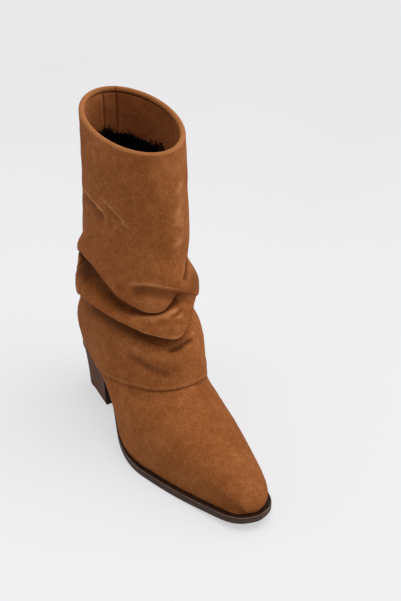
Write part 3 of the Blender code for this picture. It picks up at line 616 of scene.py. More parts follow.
def make_shaft(suede, near_black_inside, facing):
    last, run, plain_grid, normal, grid = shaft_grid()
    angle, fan = last.angle, FOLD_ROWS[0]
    grid[fan:] = relax(grid[fan:], 0.3, 2, True)
    n = grid_frame(grid, True)
    depth = np.zeros(grid.shape[:2])
    for row in CREASES:
        r = dict(zip(CREASE_COLUMNS, row))
        depth += crease(grid, normal, plain_grid, angle, r["proud"], r["dip"], r["wide_up"], r["wide_down"], r["line"], fan)
    uneven = 0.55 * soft_noise(plain_grid, 46.0, 11) + 0.16 * soft_noise(plain_grid, 13.0, 12)
    rise = run
    hold = smooth((rise - 3.0) / 14.0) * smooth((plain_grid[-1, :, 2][None] - plain_grid[..., 2] - 4.0) / 16.0)
    seat_hold = smooth((grid[..., 2] - sole_top(np.clip(grid[..., 0], 0, 271)) - 1.0) / 12.0)
    hollow = np.maximum(-depth, 0.0)
    depth = (depth + uneven) * hold * seat_hold
    grid = grid + n * depth[..., None]
    grid[fan:] = relax(grid[fan:], 0.25, 1, True)
    n = grid_frame(grid, True)
    # ridges lighter and hollows darker: partly rubbed wear, partly painted highlight on ridges and painted shade in
    # hollows
    wear_and_painted_light = relief_of(grid, n, 7, True)
    # painted highlight on the right side of the leg
    wear_and_painted_light = wear_and_painted_light + 0.24 * np.exp(-((angle[None] - 20.0) / 14.0) ** 2 - ((plain_grid[..., 2] - 213.0) / 30.0) ** 2)
    # painted shade: darker in the trough under the upper tube, just under the lower roll's lip, on the medial bulge, in
    # broad hollows and below crease dips
    row = np.arange(len(grid))[:, None]
    at_row = np.cumsum((0,) + FOLD_ROWS)
    trough = smooth((row - at_row[6]) / 14.0) * (1 - smooth((row - at_row[10] + 3) / 4.0))
    trough = trough * (smooth((angle + 136.0) / 10.0) * (1 - smooth((angle + 110.0) / 26.0)))[None]
    far = smooth((row - at_row[8] + 4) / 6.0) * (1 - smooth((row - at_row[10] + 3) / 4.0))
    trough = np.maximum(trough, far * (smooth((angle + 152.0) / 10.0) * (1 - smooth((angle + 126.0) / 14.0)))[None])
    under = smooth((row - at_row[3] + 10) / 8.0) * (1 - smooth((row - at_row[5] + 4) / 4.0))
    under = under * (smooth((angle + 112.0) / 26.0) * (1 - 0.5 * smooth((angle + 45.0) / 25.0)) * (1 - smooth((angle + 8.0) / 14.0)))[None]
    bulge = smooth((row - at_row[10]) / 8.0) * (1 - smooth((row - at_row[12]) / 18.0)) * (smooth((angle - 12.0) / 16.0) * (1 - smooth((angle - 75.0) / 20.0)))[None]
    broad_hollow_shade = relief_of(grid, n, 60, True) - 0.9 * hollow
    shade = np.clip(0.95 * trough + 0.88 * under + 0.5 * bulge, 0.0, 1.0)
    # painted highlight: the lit top of the lower roll and thin light lines along the lips of both folds
    lit = smooth((row - at_row[5]) / 14.0) * (1 - smooth((row - at_row[7] + 1) / 4.0))
    lip2 = np.exp(-((row - at_row[5] - 1) / 2.5) ** 2) * (smooth((angle + 118.0) / 14.0) * (1 - smooth((angle + 12.0) / 14.0)))[None]
    lip1 = np.exp(-((row - at_row[10] - 1) / 2.5) ** 2) * (smooth((angle + 114.0) / 14.0) * (1 - smooth((angle + 62.0) / 20.0)))[None]
    wear_and_painted_light = wear_and_painted_light + 0.12 * (lip1 + lip2)
    wear_and_painted_light = wear_and_painted_light + 0.11 * lit * (smooth((angle + 64.0) / 18.0) * (1 - smooth((angle + 2.0) / 12.0)))[None]

    # the rolled collar: over the top and down to the facing's seam
    top, up = grid[-1], grid[-1] - grid[-4]
    up /= np.linalg.norm(up, axis=1, keepdims=True)
    out = normal[-1]
    roll = []
    for t in np.linspace(14.0, 180.0, 15):
        c, s = np.cos(np.radians(t)), np.sin(np.radians(t))
        roll.append(top + out * (-2.4 + 2.4 * c) + up * (-2.4 + 2.4 * s))
    roll.append(top + out * -4.85 + up * -3.3)
    roll.append(top + out * -4.55 + up * -4.1)
    roll.append(top + out * -3.7 + up * -4.5)
    roll.append(top + out * -3.75 + up * -5.0)
    roll = np.array(roll)
    grid[-1] = top + out * 0.0 + up * -2.4
    grid[-2] = grid[-1] * 0.5 + grid[-3] * 0.5

    # inside: facing below the roll, then a near-black finish down to the foot
    inner_levels = np.r_[5.6, 6.6, np.linspace(8.5, 60.0, 20)]
    fine = np.linspace(last.place["seam"], last.place["collar"], 520)
    base = last.at(fine)
    away = last.normals(fine, base)
    height = base[..., 2]
    start = run[fan] + last.place["seam"] + ring(HEM, 1, angle)
    rows = []
    for depth_mm in inner_levels:
        r = np.array([np.interp(height[-1, j] - depth_mm, height[:, j], fine) for j in range(len(angle))])
        rows.append(r)
    last_level = rows[-1]
    for f in np.linspace(0, 1, 26)[1:]:
        rows.append(last_level + (start - last_level) * f)
    rows = np.array(rows)
    inside = np.zeros(rows.shape + (3,))
    into = np.zeros_like(inside)
    for j in range(len(angle)):
        for k in range(3):
            inside[:, j, k] = np.interp(rows[:, j], fine, base[:, j, k])
            into[:, j, k] = np.interp(rows[:, j], fine, away[:, j, k])
    into[:, 0] = into[:, -1] = into[:, 2] + into[:, -3]
    into[:, 1], into[:, -2] = into[:, 0] + 2 * into[:, 2], into[:, 0] + 2 * into[:, -3]
    into /= np.linalg.norm(into, axis=2, keepdims=True)
    deep = np.full(rows.shape, 4.3)
    deep += 6.4 * smooth((np.arange(len(rows)) - 20) / 8.0)[:, None]
    deep = deep * (1 - smooth((np.arange(len(rows)) - 38) / 8.0))[:, None] + SHAFT_WALL * smooth((np.arange(len(rows)) - 38) / 8.0)[:, None]
    below = height[-1][None] - inside[..., 2]
    ang = angle[None]
    for centre, lean, width, cut in ((-173.0, -0.16, 1.5, 1.2), (166.2, -0.10, 1.5, 1.0), (99.0, 0.05, 4.0, 0.8), (91.0, 0.0, 3.0, 0.6)):
        away_from = (ang - centre - lean * below + 180.0) % 360.0 - 180.0
        deep -= cut * np.exp(-(away_from / width) ** 2) * smooth((58.0 - below) / 8.0) * smooth((below - 5.0) / 3.0)
    deep += 0.5 * soft_noise(inside, 22.0, 31) * smooth((below - 6.0) / 10.0) * (1 - smooth((np.arange(len(rows)) - 34) / 8.0))[:, None]
    step_edge = ((ang + 173.0 + 0.16 * below + 180.0) % 360.0 - 180.0)
    deep += 0.7 * smooth((step_edge + 1.2) / 1.2) * (1 - smooth(step_edge / 26.0)) * smooth((58.0 - below) / 8.0) * smooth((below - 5.0) / 3.0)
    seam_wear = np.zeros(rows.shape)
    for centre, lean, width, tone in ((-173.0, -0.16, 1.3, -1.1), (-169.4, -0.16, 1.6, 0.3), (166.2, -0.10, 1.3, -0.8), (99.0, 0.05, 2.2, 0.25), (91.0, 0.0, 2.0, 0.2)):
        away_from = (ang - centre - lean * below + 180.0) % 360.0 - 180.0
        seam_wear += tone * np.exp(-(away_from / width) ** 2) * smooth((58.0 - below) / 8.0)
    inside = inside - into * deep[..., None]

    # inner wall of the lap and the quarters
    fan_n = n[:fan + 1]
    reach = np.median(run[:fan + 1], axis=1)
    wall = LAP_WALL + (SHAFT_WALL - LAP_WALL) * smooth((reach - 11.0) / 8.0)
    fan_inner = grid[:fan + 1] - fan_n * wall[:, None, None]
    inside[-1] = fan_inner[fan]
    back = np.abs(angle) / 180.0 > EDGE_Q - 1e-6
    seat_turn = seat_inner(last, grid[fan])
    inside[-1, back] = seat_turn[back]
    for i in range(fan + 1):
        for side, column in ((-1, last.edge), (1, grid.shape[1] - 1 - last.edge)):
            fan_inner[i, column] = grid[i, column] + np.array([0.0, -side * wall[i], 0.06])
    fan_inner[fan] = inside[-1]

    # vertices: outer rows, roll, inside rows, inner wall of the quarters
    upper = np.concatenate([grid[fan:], roll, inside])
    columns = len(angle) - 1
    verts, index = [], {}

    def vertex(key, p):
        if key not in index:
            index[key] = len(verts)
            verts.append(p)
        return index[key]

    faces, slot = [], []
    wear_and_painted_light_values, broad_hollow_shade_values, shades = [], [], []
    n_outer, n_roll = len(grid) - fan, len(roll)
    inside_from = n_outer + n_roll

    def key_upper(i, j):
        return ("u", i, j % columns)

    def key_fan(i, j):
        return key_upper(0, j) if i == fan else ("f", i, j)

    def key_inner(i, j):
        return key_upper(len(upper) - 1, j) if i == fan else ("i", i, j)

    for i in range(len(upper)):
        for j in range(columns):
            vertex(key_upper(i, j), upper[i, j])
            if i < n_outer:
                wear_and_painted_light_values.append(wear_and_painted_light[fan + i, j]); broad_hollow_shade_values.append(broad_hollow_shade[fan + i, j]); shades.append(shade[fan + i, j])
            else:
                # the rolled collar is lighter, partly rubbed wear and partly painted highlight; a dark band along the
                # facing's seam below the roll and dark seam lines on the facing
                rim_seam = -0.7 * np.exp(-((angle[j] - 166.2) / 1.3) ** 2)
                wear_and_painted_light_values.append(0.26 + rim_seam if i < inside_from - 3 else (-0.8 if i < inside_from - 1 else
                             (float(seam_wear[i - inside_from, j]) if i >= inside_from else 0.0)))
                broad_hollow_shade_values.append(0.0)
                shades.append(0.0)
    first, final = last.edge, grid.shape[1] - 1 - last.edge
    for i in range(fan):
        for j in range(first, final + 1):
            vertex(key_fan(i, j), grid[i, j])
            wear_and_painted_light_values.append(wear_and_painted_light[i, j]); broad_hollow_shade_values.append(broad_hollow_shade[i, j]); shades.append(shade[i, j])
    for i in range(fan):
        for j in range(first, final + 1):
            vertex(key_inner(i, j), fan_inner[i, j])
            wear_and_painted_light_values.append(0.0); broad_hollow_shade_values.append(0.0); shades.append(0.0)
    for i in range(len(upper) - 1):
        for j in range(columns):
            faces.append([index[key_upper(i, j)], index[key_upper(i, j + 1)], index[key_upper(i + 1, j + 1)], index[key_upper(i + 1, j)]])
            slot.append(1 if i >= inside_from + 14 else (2 if i >= inside_from - 2 else 0))
    for i in range(fan):
        for j in range(first, final):
            faces.append([index[key_fan(i, j)], index[key_fan(i, j + 1)], index[key_fan(i + 1, j + 1)], index[key_fan(i + 1, j)]])
            slot.append(0)
            faces.append([index[key_inner(i, j)], index[key_inner(i + 1, j)], index[key_inner(i + 1, j + 1)], index[key_inner(i, j + 1)]])
            slot.append(1)
    for j in range(first, final):
        faces.append([index[key_fan(0, j)], index[key_inner(0, j)], index[key_inner(0, j + 1)], index[key_fan(0, j + 1)]])
        slot.append(0)
    for i in range(fan):
        faces.append([index[key_fan(i, first)], index[key_fan(i + 1, first)], index[key_inner(i + 1, first)], index[key_inner(i, first)]])
        faces.append([index[key_fan(i, final)], index[key_inner(i, final)], index[key_inner(i + 1, final)], index[key_fan(i + 1, final)]])
        slot += [0, 0]
    for j in range(columns):
        if j < first or j >= final:
            faces.append([index[key_upper(0, j)], index[key_upper(len(upper) - 1, j)],
                          index[key_upper(len(upper) - 1, j + 1)], index[key_upper(0, j + 1)]])
            slot.append(0)
    obj = new_object("shaft_suede", place(np.array(verts)), faces, [suede, near_black_inside, facing], slot,
                     {"wear_and_painted_light": wear_and_painted_light_values, "broad_hollow_shade": broad_hollow_shade_values, "shade": shades})
    outward(obj)
    return obj, last, grid, n, inside, into, below


def seat_inner(last, outer_row):
    """Inner edge of the wall on the heel seat: the seat outline moved in."""
    middle = np.array([35.0, 0.0])
    row = outer_row.copy()
    for j in range(len(row)):
        v = middle - row[j, :2]
        row[j, :2] += v / np.linalg.norm(v) * SHAFT_WALL
    row[:, 2] += 0.06
    return row


# ---------------------------------------------------------------- the vamp
def make_vamp(suede, near_black_inside):
    last = Last(VAMP_HALF)
    at = last.place
    hem = at["seam"] + ring(HEM, 1, last.angle)
    share = np.linspace(0, 1, 92)[1:, None]
    run = np.concatenate([np.repeat(np.linspace(0, at["toe_box"], 58)[:, None], len(hem), axis=1),
                          at["toe_box"] + (hem - at["toe_box"])[None] * share,
                          hem[None] + LAP_LENGTH * np.linspace(0.12, 1.0, 8)[:, None]])
    fine = np.linspace(0, at["seam"] + 26.0, 460)
    base = last.at(fine)
    away = last.normals(fine, base)
    grid, n = np.zeros(run.shape + (3,)), np.zeros(run.shape + (3,))
    for j in range(len(hem)):
        for k in range(3):
            grid[:, j, k] = np.interp(run[:, j], fine, base[:, j, k])
            n[:, j, k] = np.interp(run[:, j], fine, away[:, j, k])
    n /= np.maximum(np.linalg.norm(n, axis=2, keepdims=True), 1e-9)
    dip = (LAP_WALL + LAP_GAP - LAP_PROUD) * smooth((run - hem[None] + 7.0) / 7.0)
    grid = grid - n * dip[..., None]
    a, b = last.edge, grid.shape[1] - 1 - last.edge
    uneven = 0.32 * soft_noise(grid, 55.0, 21) + 0.08 * soft_noise(grid, 14.0, 22)
    from_sole = smooth((grid[..., 2] - sole_top(np.clip(grid[..., 0], 0, 271)) - 1.5) / 12.0)
    uneven *= from_sole * smooth((hem[None] - 2.0 - run) / 14.0)
    for x, y, wide, deep in ((150.0, -36.0, 16.0, 0.5), (176.0, -20.0, 20.0, 0.35), (214.0, 14.0, 16.0, 0.3), (168.0, 24.0, 18.0, 0.45)):
        uneven -= deep * np.exp(-((grid[..., 0] - x) ** 2 + (grid[..., 1] - y) ** 2) / wide ** 2) * from_sole
    grid = grid + n * uneven[..., None]
    grid = last.seat(grid, [run[:, a], run[:, b]], [-1.5 * dip[:, a], -1.5 * dip[:, b]], ease=10)
    n = grid_frame(grid, False)
    outer = grid[:, a:b + 1]
    n = n[:, a:b + 1]
    # ridges lighter and hollows darker, partly rubbed wear and partly painted highlight and painted shade
    wear_and_painted_light = relief_of(outer, n, 14, False)
    broad_hollow_shade = relief_of(outer, n, 60, False)
    # painted shade: darker towards the toe and the medial side
    shade = np.maximum(0.28 * smooth((outer[..., 0] - 205.0) / 40.0), 0.30 * smooth((outer[..., 1] + 4.0) / 16.0))
    inner = outer - n * VAMP_WALL
    for i in range(len(run)):
        for side, column in ((-1, 0), (1, -1)):
            inner[i, column] = outer[i, column] + np.array([0.0, -side * VAMP_WALL, 0.05])
    inward = np.array([210.0, 4.0, 0.0]) - outer[0]
    inward[:, 2] = 0.0
    inner[0] = outer[0] + inward / np.linalg.norm(inward, axis=1, keepdims=True) * VAMP_WALL + (0, 0, 0.05)
    rows, columns = outer.shape[:2]
    verts = np.concatenate([outer.reshape(-1, 3), inner.reshape(-1, 3)])
    k = rows * columns

    def v(i, j, layer=0):
        return layer * k + i * columns + j
    faces = []
    for i in range(rows - 1):
        for j in range(columns - 1):
            faces.append([v(i, j), v(i, j + 1), v(i + 1, j + 1), v(i + 1, j)])
            faces.append([v(i, j, 1), v(i + 1, j, 1), v(i + 1, j + 1, 1), v(i, j + 1, 1)])
    for j in range(columns - 1):
        faces.append([v(0, j), v(0, j, 1), v(0, j + 1, 1), v(0, j + 1)])
        faces.append([v(rows - 1, j), v(rows - 1, j + 1), v(rows - 1, j + 1, 1), v(rows - 1, j, 1)])
    for i in range(rows - 1):
        faces.append([v(i, 0), v(i + 1, 0), v(i + 1, 0, 1), v(i, 0, 1)])
        faces.append([v(i, columns - 1), v(i, columns - 1, 1), v(i + 1, columns - 1, 1), v(i + 1, columns - 1)])
    zero = np.zeros(k)
    layer = [1 if min(face) >= k else 0 for face in faces]
    obj = new_object("vamp_suede", place(verts), faces, [suede, near_black_inside], layer,
                     {"wear_and_painted_light": np.r_[wear_and_painted_light.ravel(), zero], "broad_hollow_shade": np.r_[broad_hollow_shade.ravel(), zero], "shade": np.r_[shade.ravel(), zero]})
    outward(obj)
    return obj


# ---------------------------------------------------------------- sole, heel, footbed
def loft(name, stations, section, materials, sharp, merge=0.02):
    """Closed solid from a ring of (inset, height) points on each side at each station."""
    rows = []
    for t in stations:
        left = np.array([np.r_[outline(t, -1, inset)[0], 0.0] for inset, _ in section])
        right = np.array([np.r_[outline(t, 1, inset)[0], 0.0] for inset, _ in section])
        for side in (left, right):
            for p, (_, z) in zip(side, section):
                p[2] = z(p[0])
        between = []
        for f in np.linspace(0, 1, 9)[1:-1]:
            between.append(left[-1] + (right[-1] - left[-1]) * f)
        for p in between:
            p[2] = section[-1][1](p[0])
        under = []
        for f in np.linspace(0, 1, 9)[1:-1]:
            under.append(right[0] + (left[0] - right[0]) * f)
        for p in under:
            p[2] = section[0][1](p[0])
        rows.append(np.concatenate([left, between, right[::-1], under]))
    rows = np.array(rows)
    count = rows.shape[1]
    bm = bmesh.new()
    verts = [[bm.verts.new(p) for p in place(row)] for row in rows]
    for a, b in zip(verts, verts[1:]):
        for i in range(count):
            bm.faces.new((a[i], a[(i + 1) % count], b[(i + 1) % count], b[i]))
    n_side = len(section)
    for ring_row in (verts[0], verts[-1]):
        left, right = ring_row[:n_side], ring_row[n_side + 7:2 * n_side + 7][::-1]
        top = ring_row[n_side:n_side + 7]
        low = ring_row[2 * n_side + 7:]
        closed_end = (left[0].co - right[0].co).length < merge * MM
        if not closed_end:
            levels = [[left[0]] + low[::-1] + [right[0]]]
            for k in range(1, n_side - 1):
                inner = [bm.verts.new(left[k].co.lerp(right[k].co, f)) for f in np.linspace(0, 1, 9)[1:-1]]
                levels.append([left[k]] + inner + [right[k]])
            levels.append([left[-1]] + top + [right[-1]])
            for lo, hi in zip(levels, levels[1:]):
                for i in range(len(lo) - 1):
                    bm.faces.new((lo[i], lo[i + 1], hi[i + 1], hi[i]))
    bmesh.ops.remove_doubles(bm, verts=bm.verts, dist=merge * MM)
    bmesh.ops.dissolve_degenerate(bm, edges=bm.edges, dist=1e-6)
    bmesh.ops.recalc_face_normals(bm, faces=bm.faces)
    mesh = bpy.data.meshes.new(name)
    bm.to_mesh(mesh)
    bm.free()
    for m in materials:
        mesh.materials.append(m)
    mesh.shade_smooth()
    mesh.set_sharp_from_angle(angle=np.radians(sharp))
    obj = bpy.data.objects.new(name, mesh)
    bpy.context.scene.collection.objects.link(obj)
    return obj


def make_outsole(finish, ledge_painted_shade, rim_painted_highlight):
    """Sole with painted shade on the ledge top under the upper and a painted highlight on its upward-sloping upper
    edge.
    """
    def at(share, drop=0.0):
        return lambda x: bottom(x) + thickness(x) * share + drop
    section = ((2.0, at(0, 0.0)), (0.75, at(0, 0.0)), (0.3, at(0, 0.18)), (0.06, at(0, 0.55)), (0.0, at(0, 1.1)),
               (0.0, at(0.5)), (0.02, at(1, -0.9)), (0.12, at(1, -0.42)), (0.4, at(1, -0.1)), (0.85, at(1, 0.0)), (1.9, at(1, 0.0)))
    even = np.linspace(0, 1, 190)
    flat = turn_of(np.array([FLAT_FROM, FLAT_TO]))
    turns = np.sort(np.r_[even[np.abs(even[:, None] - flat).min(axis=1) > 0.002], flat])
    obj = loft("outsole_edge", turns, section, [finish, ledge_painted_shade, rim_painted_highlight], 55)
    # by slope: faces looking up take the dark painted shade, faces sloping up the lighter painted highlight
    for face in obj.data.polygons:
        x = min(max(face.center.x / MM + ORIGIN[0], 1.0), 270.0)
        slope = (float(sole_top(x + 1.0)) - float(sole_top(x - 1.0))) / 2.0
        level = (face.normal.z - slope * face.normal.x) / np.hypot(1.0, slope)
        face.material_index = 1 if level > 0.93 else (2 if level > 0.22 else 0)
    return obj


def make_footbed(finish):
    def inset(extra):
        return lambda x: ledge(x) + INSOLE_INSET + extra

    def at(h):
        return lambda x: sole_top(x) + GAP + h
    section = ((inset(0.6), at(0.0)), (inset(0.1), at(0.2)), (inset(0.0), at(1.0)), (inset(0.1), at(2.0)), (inset(0.7), at(INSOLE_THICKNESS)))
    return loft("footbed", np.linspace(0, 1, 120), section, [finish], 50)


def make_heel(finish, breast_painted_shade):
    """Tapered block: back and sides bowed in a little, sharp breast, flat foot."""
    start, end = 1.0, float(turn_of(HEEL_BREAST_X))
    turns = np.linspace(start, end, 56)
    back, front = HEEL_FOOT_X
    levels = np.r_[0.0, 0.012, 0.03, np.linspace(0.06, 0.97, 22), 0.985, 1.0]
    shrink = np.r_[0.55, 0.16, 0.02, np.zeros(22), 0.12, 0.4]

    foot_width = spline(np.array([w[0] for w in HEEL_FOOT_WIDTH]), np.array([w[1] for w in HEEL_FOOT_WIDTH]))

    def point(seat, level, tuck):
        x = back + (seat[0] - HEEL_X - HEEL_INSET) * (front - back) / (HEEL_BREAST_X - HEEL_X - HEEL_INSET)
        wide = float(foot_width(min(max(seat[0], 0.0), 64.0)))
        foot = np.array([x, seat[1] * wide + HEEL_FOOT_SHIFT, 0.0])
        p = foot + (seat - foot) * level
        bow = 0.5 * np.sin(pi * level)
        centre = np.array([38.0, 0.0])
        toward = centre - p[:2]
        size = np.linalg.norm(toward)
        rear = smooth((HEEL_BREAST_X - 3.0 - seat[0]) / 12.0)
        p[:2] += toward / size * (bow * rear + tuck)
        return p
    rows = []
    for level, tuck in zip(levels, shrink):
        ring_points = []
        for side, order in ((-1, turns[::-1]), (1, turns[1:])):
            for t in order:
                xy = outline(t, side, HEEL_INSET)[0]
                seat = np.array([xy[0], xy[1], float(bottom(np.array([xy[0]]))[0]) - GAP])
                ring_points.append(point(seat, level, tuck))
        breast_a, breast_b = ring_points[0], ring_points[-1]
        for f in np.linspace(0, 1, 19)[1:-1]:
            p = breast_b + (breast_a - breast_b) * f
            p[0] -= 1.3 * np.sin(pi * f) * np.sin(pi * min(level * 1.0 + 0.0, 1.0)) ** 0.5
            ring_points.append(p)
        rows.append(ring_points)
    rows = np.array(rows)
    count = rows.shape[1]
    bm = bmesh.new()
    verts = [[bm.verts.new(p) for p in place(row)] for row in rows]
    for a, b in zip(verts, verts[1:]):
        for i in range(count):
            bm.faces.new((a[i], a[(i + 1) % count], b[(i + 1) % count], b[i]))
    for cap in (verts[0], verts[-1]):
        bm.faces.new(cap)
    bmesh.ops.recalc_face_normals(bm, faces=bm.faces)
    mesh = bpy.data.meshes.new("heel_block")
    bm.to_mesh(mesh)
    bm.free()
    mesh.materials.append(finish)
    mesh.materials.append(breast_painted_shade)
    for face in mesh.polygons:
        # the forward-facing breast takes a dark painted shade
        face.material_index = 1 if face.normal.x > 0.7 else 0
    mesh.shade_smooth()
    mesh.set_sharp_from_angle(angle=np.radians(38))
    obj = bpy.data.objects.new("heel_block", mesh)
    bpy.context.scene.collection.objects.link(obj)
    return obj


# ---------------------------------------------------------------- stitches and pile
def capsules(name, starts, ends, lifts, radius, finish, sides=6, rings=5, flat=0.75):
    """Many short threads in one mesh, each bowed up along its lift."""
    verts, faces = [], []
    for a, b, lift in zip(starts, ends, lifts):
        way = b - a
        side = np.cross(lift, way)
        side /= np.linalg.norm(side)
        first = len(verts)
        for k in range(rings):
            f = k / (rings - 1)
            bow = np.sin(pi * f)
            size = radius * (0.35 + 0.65 * bow ** 0.5)
            c = a + way * f + lift * (bow * radius * 0.9 - radius * 0.55)
            for s in range(sides):
                w = 2 * pi * s / sides
                verts.append(c + side * np.cos(w) * size + lift * np.sin(w) * size * flat)
        for k in range(rings - 1):
            for s in range(sides):
                p, q = first + k * sides + s, first + k * sides + (s + 1) % sides
                faces.append([p, q, q + sides, p + sides])
        faces.append([first + s for s in range(sides)][::-1])
        faces.append([first + (rings - 1) * sides + s for s in range(sides)])
    obj = new_object(name, place(np.array(verts)), faces, [finish])
    outward(obj)
    return obj


def make_stitches(last, grid, n, finish):
    """Seam above the lapped edge of the shaft."""
    a, b = last.edge, grid.shape[1] - 1 - last.edge
    line, lift = [], []
    for j in range(a + 2, b - 1):
        step = np.r_[0, np.cumsum(np.linalg.norm(np.diff(grid[:FOLD_ROWS[0], j], axis=0), axis=1))]
        line.append([np.interp(2.3, step, grid[:FOLD_ROWS[0], j, k]) for k in range(3)])
        lift.append([np.interp(2.3, step, n[:FOLD_ROWS[0], j, k]) for k in range(3)])
    line, lift = np.array(line), np.array(lift)
    way = np.r_[0, np.cumsum(np.linalg.norm(np.diff(line, axis=0), axis=1))]
    places = np.arange(1.0, way[-1] - 3.0, 2.35)

    def at(s, t):
        return np.array([np.interp(s, way, t[:, k]) for k in range(3)])
    starts = [at(s, line) for s in places]
    ends = [at(s + 1.75, line) for s in places]
    lifts = [at(s + 0.9, lift) / np.linalg.norm(at(s + 0.9, lift)) for s in places]
    return capsules("lap_stitch", starts, ends, lifts, 0.3, finish)


def make_pile(inside, into, below, angle, finish):
    """Short near-black pile inside the shaft, uneven along its upper edge."""
    rng = np.random.default_rng(5)
    rows, columns = inside.shape[:2]
    verts, faces = [], []
    count = 5600
    edge = 39.8 + 2.2 * np.sin(np.radians(angle) * 3 + 0.6) + 1.3 * np.sin(np.radians(angle) * 11 + 2.0)
    made = 0
    while made < count:
        j = int(rng.integers(0, columns - 1))
        d = edge[j] + rng.exponential(7.0) - rng.exponential(1.3)
        if d > 62.0 or d < 33.0:
            continue
        i = int(np.clip(np.searchsorted(below[:, j], d) - 1, 0, rows - 2))
        f = np.clip((d - below[i, j]) / max(below[i + 1, j] - below[i, j], 1e-6), 0, 1)
        u = rng.random()
        j2 = j + 1
        p = (inside[i, j] * (1 - f) + inside[i + 1, j] * f) * (1 - u) + (inside[i, j2] * (1 - f) + inside[i + 1, j2] * f) * u
        inward = -into[i, j]
        up = inside[max(i - 1, 0), j] - inside[i + 1, j]
        up /= np.linalg.norm(up)
        side = np.cross(up, inward)
        length = rng.uniform(1.6, 4.2)
        tip = p + inward * length * rng.uniform(0.35, 0.8) + up * length * rng.uniform(-0.3, 0.9) + side * length * rng.uniform(-0.5, 0.5)
        wide = rng.uniform(0.28, 0.6)
        first = len(verts)
        root = p - inward * 0.3
        for w in (0.0, 2 * pi / 3, 4 * pi / 3):
            verts.append(root + side * np.cos(w) * wide + up * np.sin(w) * wide)
        verts.append(tip)
        faces += [[first, first + 1, first + 3], [first + 1, first + 2, first + 3], [first + 2, first, first + 3], [first + 2, first + 1, first]]
        made += 1
    obj = new_object("near_black_pile", place(np.array(verts)), faces, [finish])
    outward(obj)
    return obj


# ---------------------------------------------------------------- materials
class Nodes:
    def __init__(self, name):
        self.material = bpy.data.materials.new(name)
        self.material.use_nodes = True
        self.tree = self.material.node_tree
        self.shader = self.tree.nodes["Principled BSDF"]
        self.where = self.add("ShaderNodeTexCoord").outputs["Object"]

    def add(self, kind, **values):
        node = self.tree.nodes.new(kind)
        for key, value in values.items():
            if hasattr(node, key):
                setattr(node, key, value)
            else:
                node.inputs[key].default_value = value
        return node

    def link(self, a, b):
        self.tree.links.new(a, b)

    def noise(self, scale, detail=3.0, rough=0.55, where=None, distortion=0.0):
        node = self.add("ShaderNodeTexNoise")
        node.inputs["Scale"].default_value = scale
        node.inputs["Detail"].default_value = detail
        node.inputs["Roughness"].default_value = rough
        node.inputs["Distortion"].default_value = distortion
        self.link(where or self.where, node.inputs["Vector"])
        return node.outputs["Fac"]

    def attribute(self, name):
        node = self.add("ShaderNodeAttribute")
        node.attribute_type = "GEOMETRY"
        node.attribute_name = name
        return node.outputs["Fac"]

    def spread(self, value, low, high, to_low=0.0, to_high=1.0):
        node = self.add("ShaderNodeMapRange")
        node.interpolation_type = "SMOOTHSTEP"
        node.inputs["From Min"].default_value = low
        node.inputs["From Max"].default_value = high
        node.inputs["To Min"].default_value = to_low
        node.inputs["To Max"].default_value = to_high
        self.link(value, node.inputs["Value"])
        return node.outputs["Result"]

    def ramp(self, value, stops):
        node = self.add("ShaderNodeValToRGB")
        ramp = node.color_ramp
        while len(ramp.elements) < len(stops):
            ramp.elements.new(0.5)
        for element, (place_at, colour) in zip(ramp.elements, stops):
            element.position = place_at
            element.color = (*colour, 1.0)
        self.link(value, node.inputs["Fac"])
        return node.outputs["Color"]

    def mix(self, factor, a, b, mode="MIX"):
        node = self.add("ShaderNodeMix")
        node.data_type = "RGBA"
        node.blend_type = mode
        node.clamp_factor = True
        for value, socket in ((factor, 0), (a, 6), (b, 7)):
            if isinstance(value, (int, float)):
                node.inputs[socket].default_value = value
            elif isinstance(value, tuple):
                node.inputs[socket].default_value = (*value, 1.0)
            else:
                self.link(value, node.inputs[socket])
        return node.outputs[2]

    def bump(self, value, strength, distance, normal=None):
        node = self.add("ShaderNodeBump")
        node.inputs["Strength"].default_value = strength
        node.inputs["Distance"].default_value = distance
        self.link(value, node.inputs["Height"])
        if normal is not None:
            self.link(normal, node.inputs["Normal"])
        return node.outputs["Normal"]

    def set(self, **values):
        for key, value in values.items():
            socket = self.shader.inputs[key.replace("_", " ")]
            if hasattr(value, "is_linked"):
                self.link(value, socket)
            else:
                socket.default_value = value


def lin(r, g, b):
    """sRGB 0-255 to linear."""
    out = []
    for v in (r, g, b):
        v /= 255.0
        out.append(v / 12.92 if v <= 0.04045 else ((v + 0.055) / 1.055) ** 2.4)
    return tuple(out)


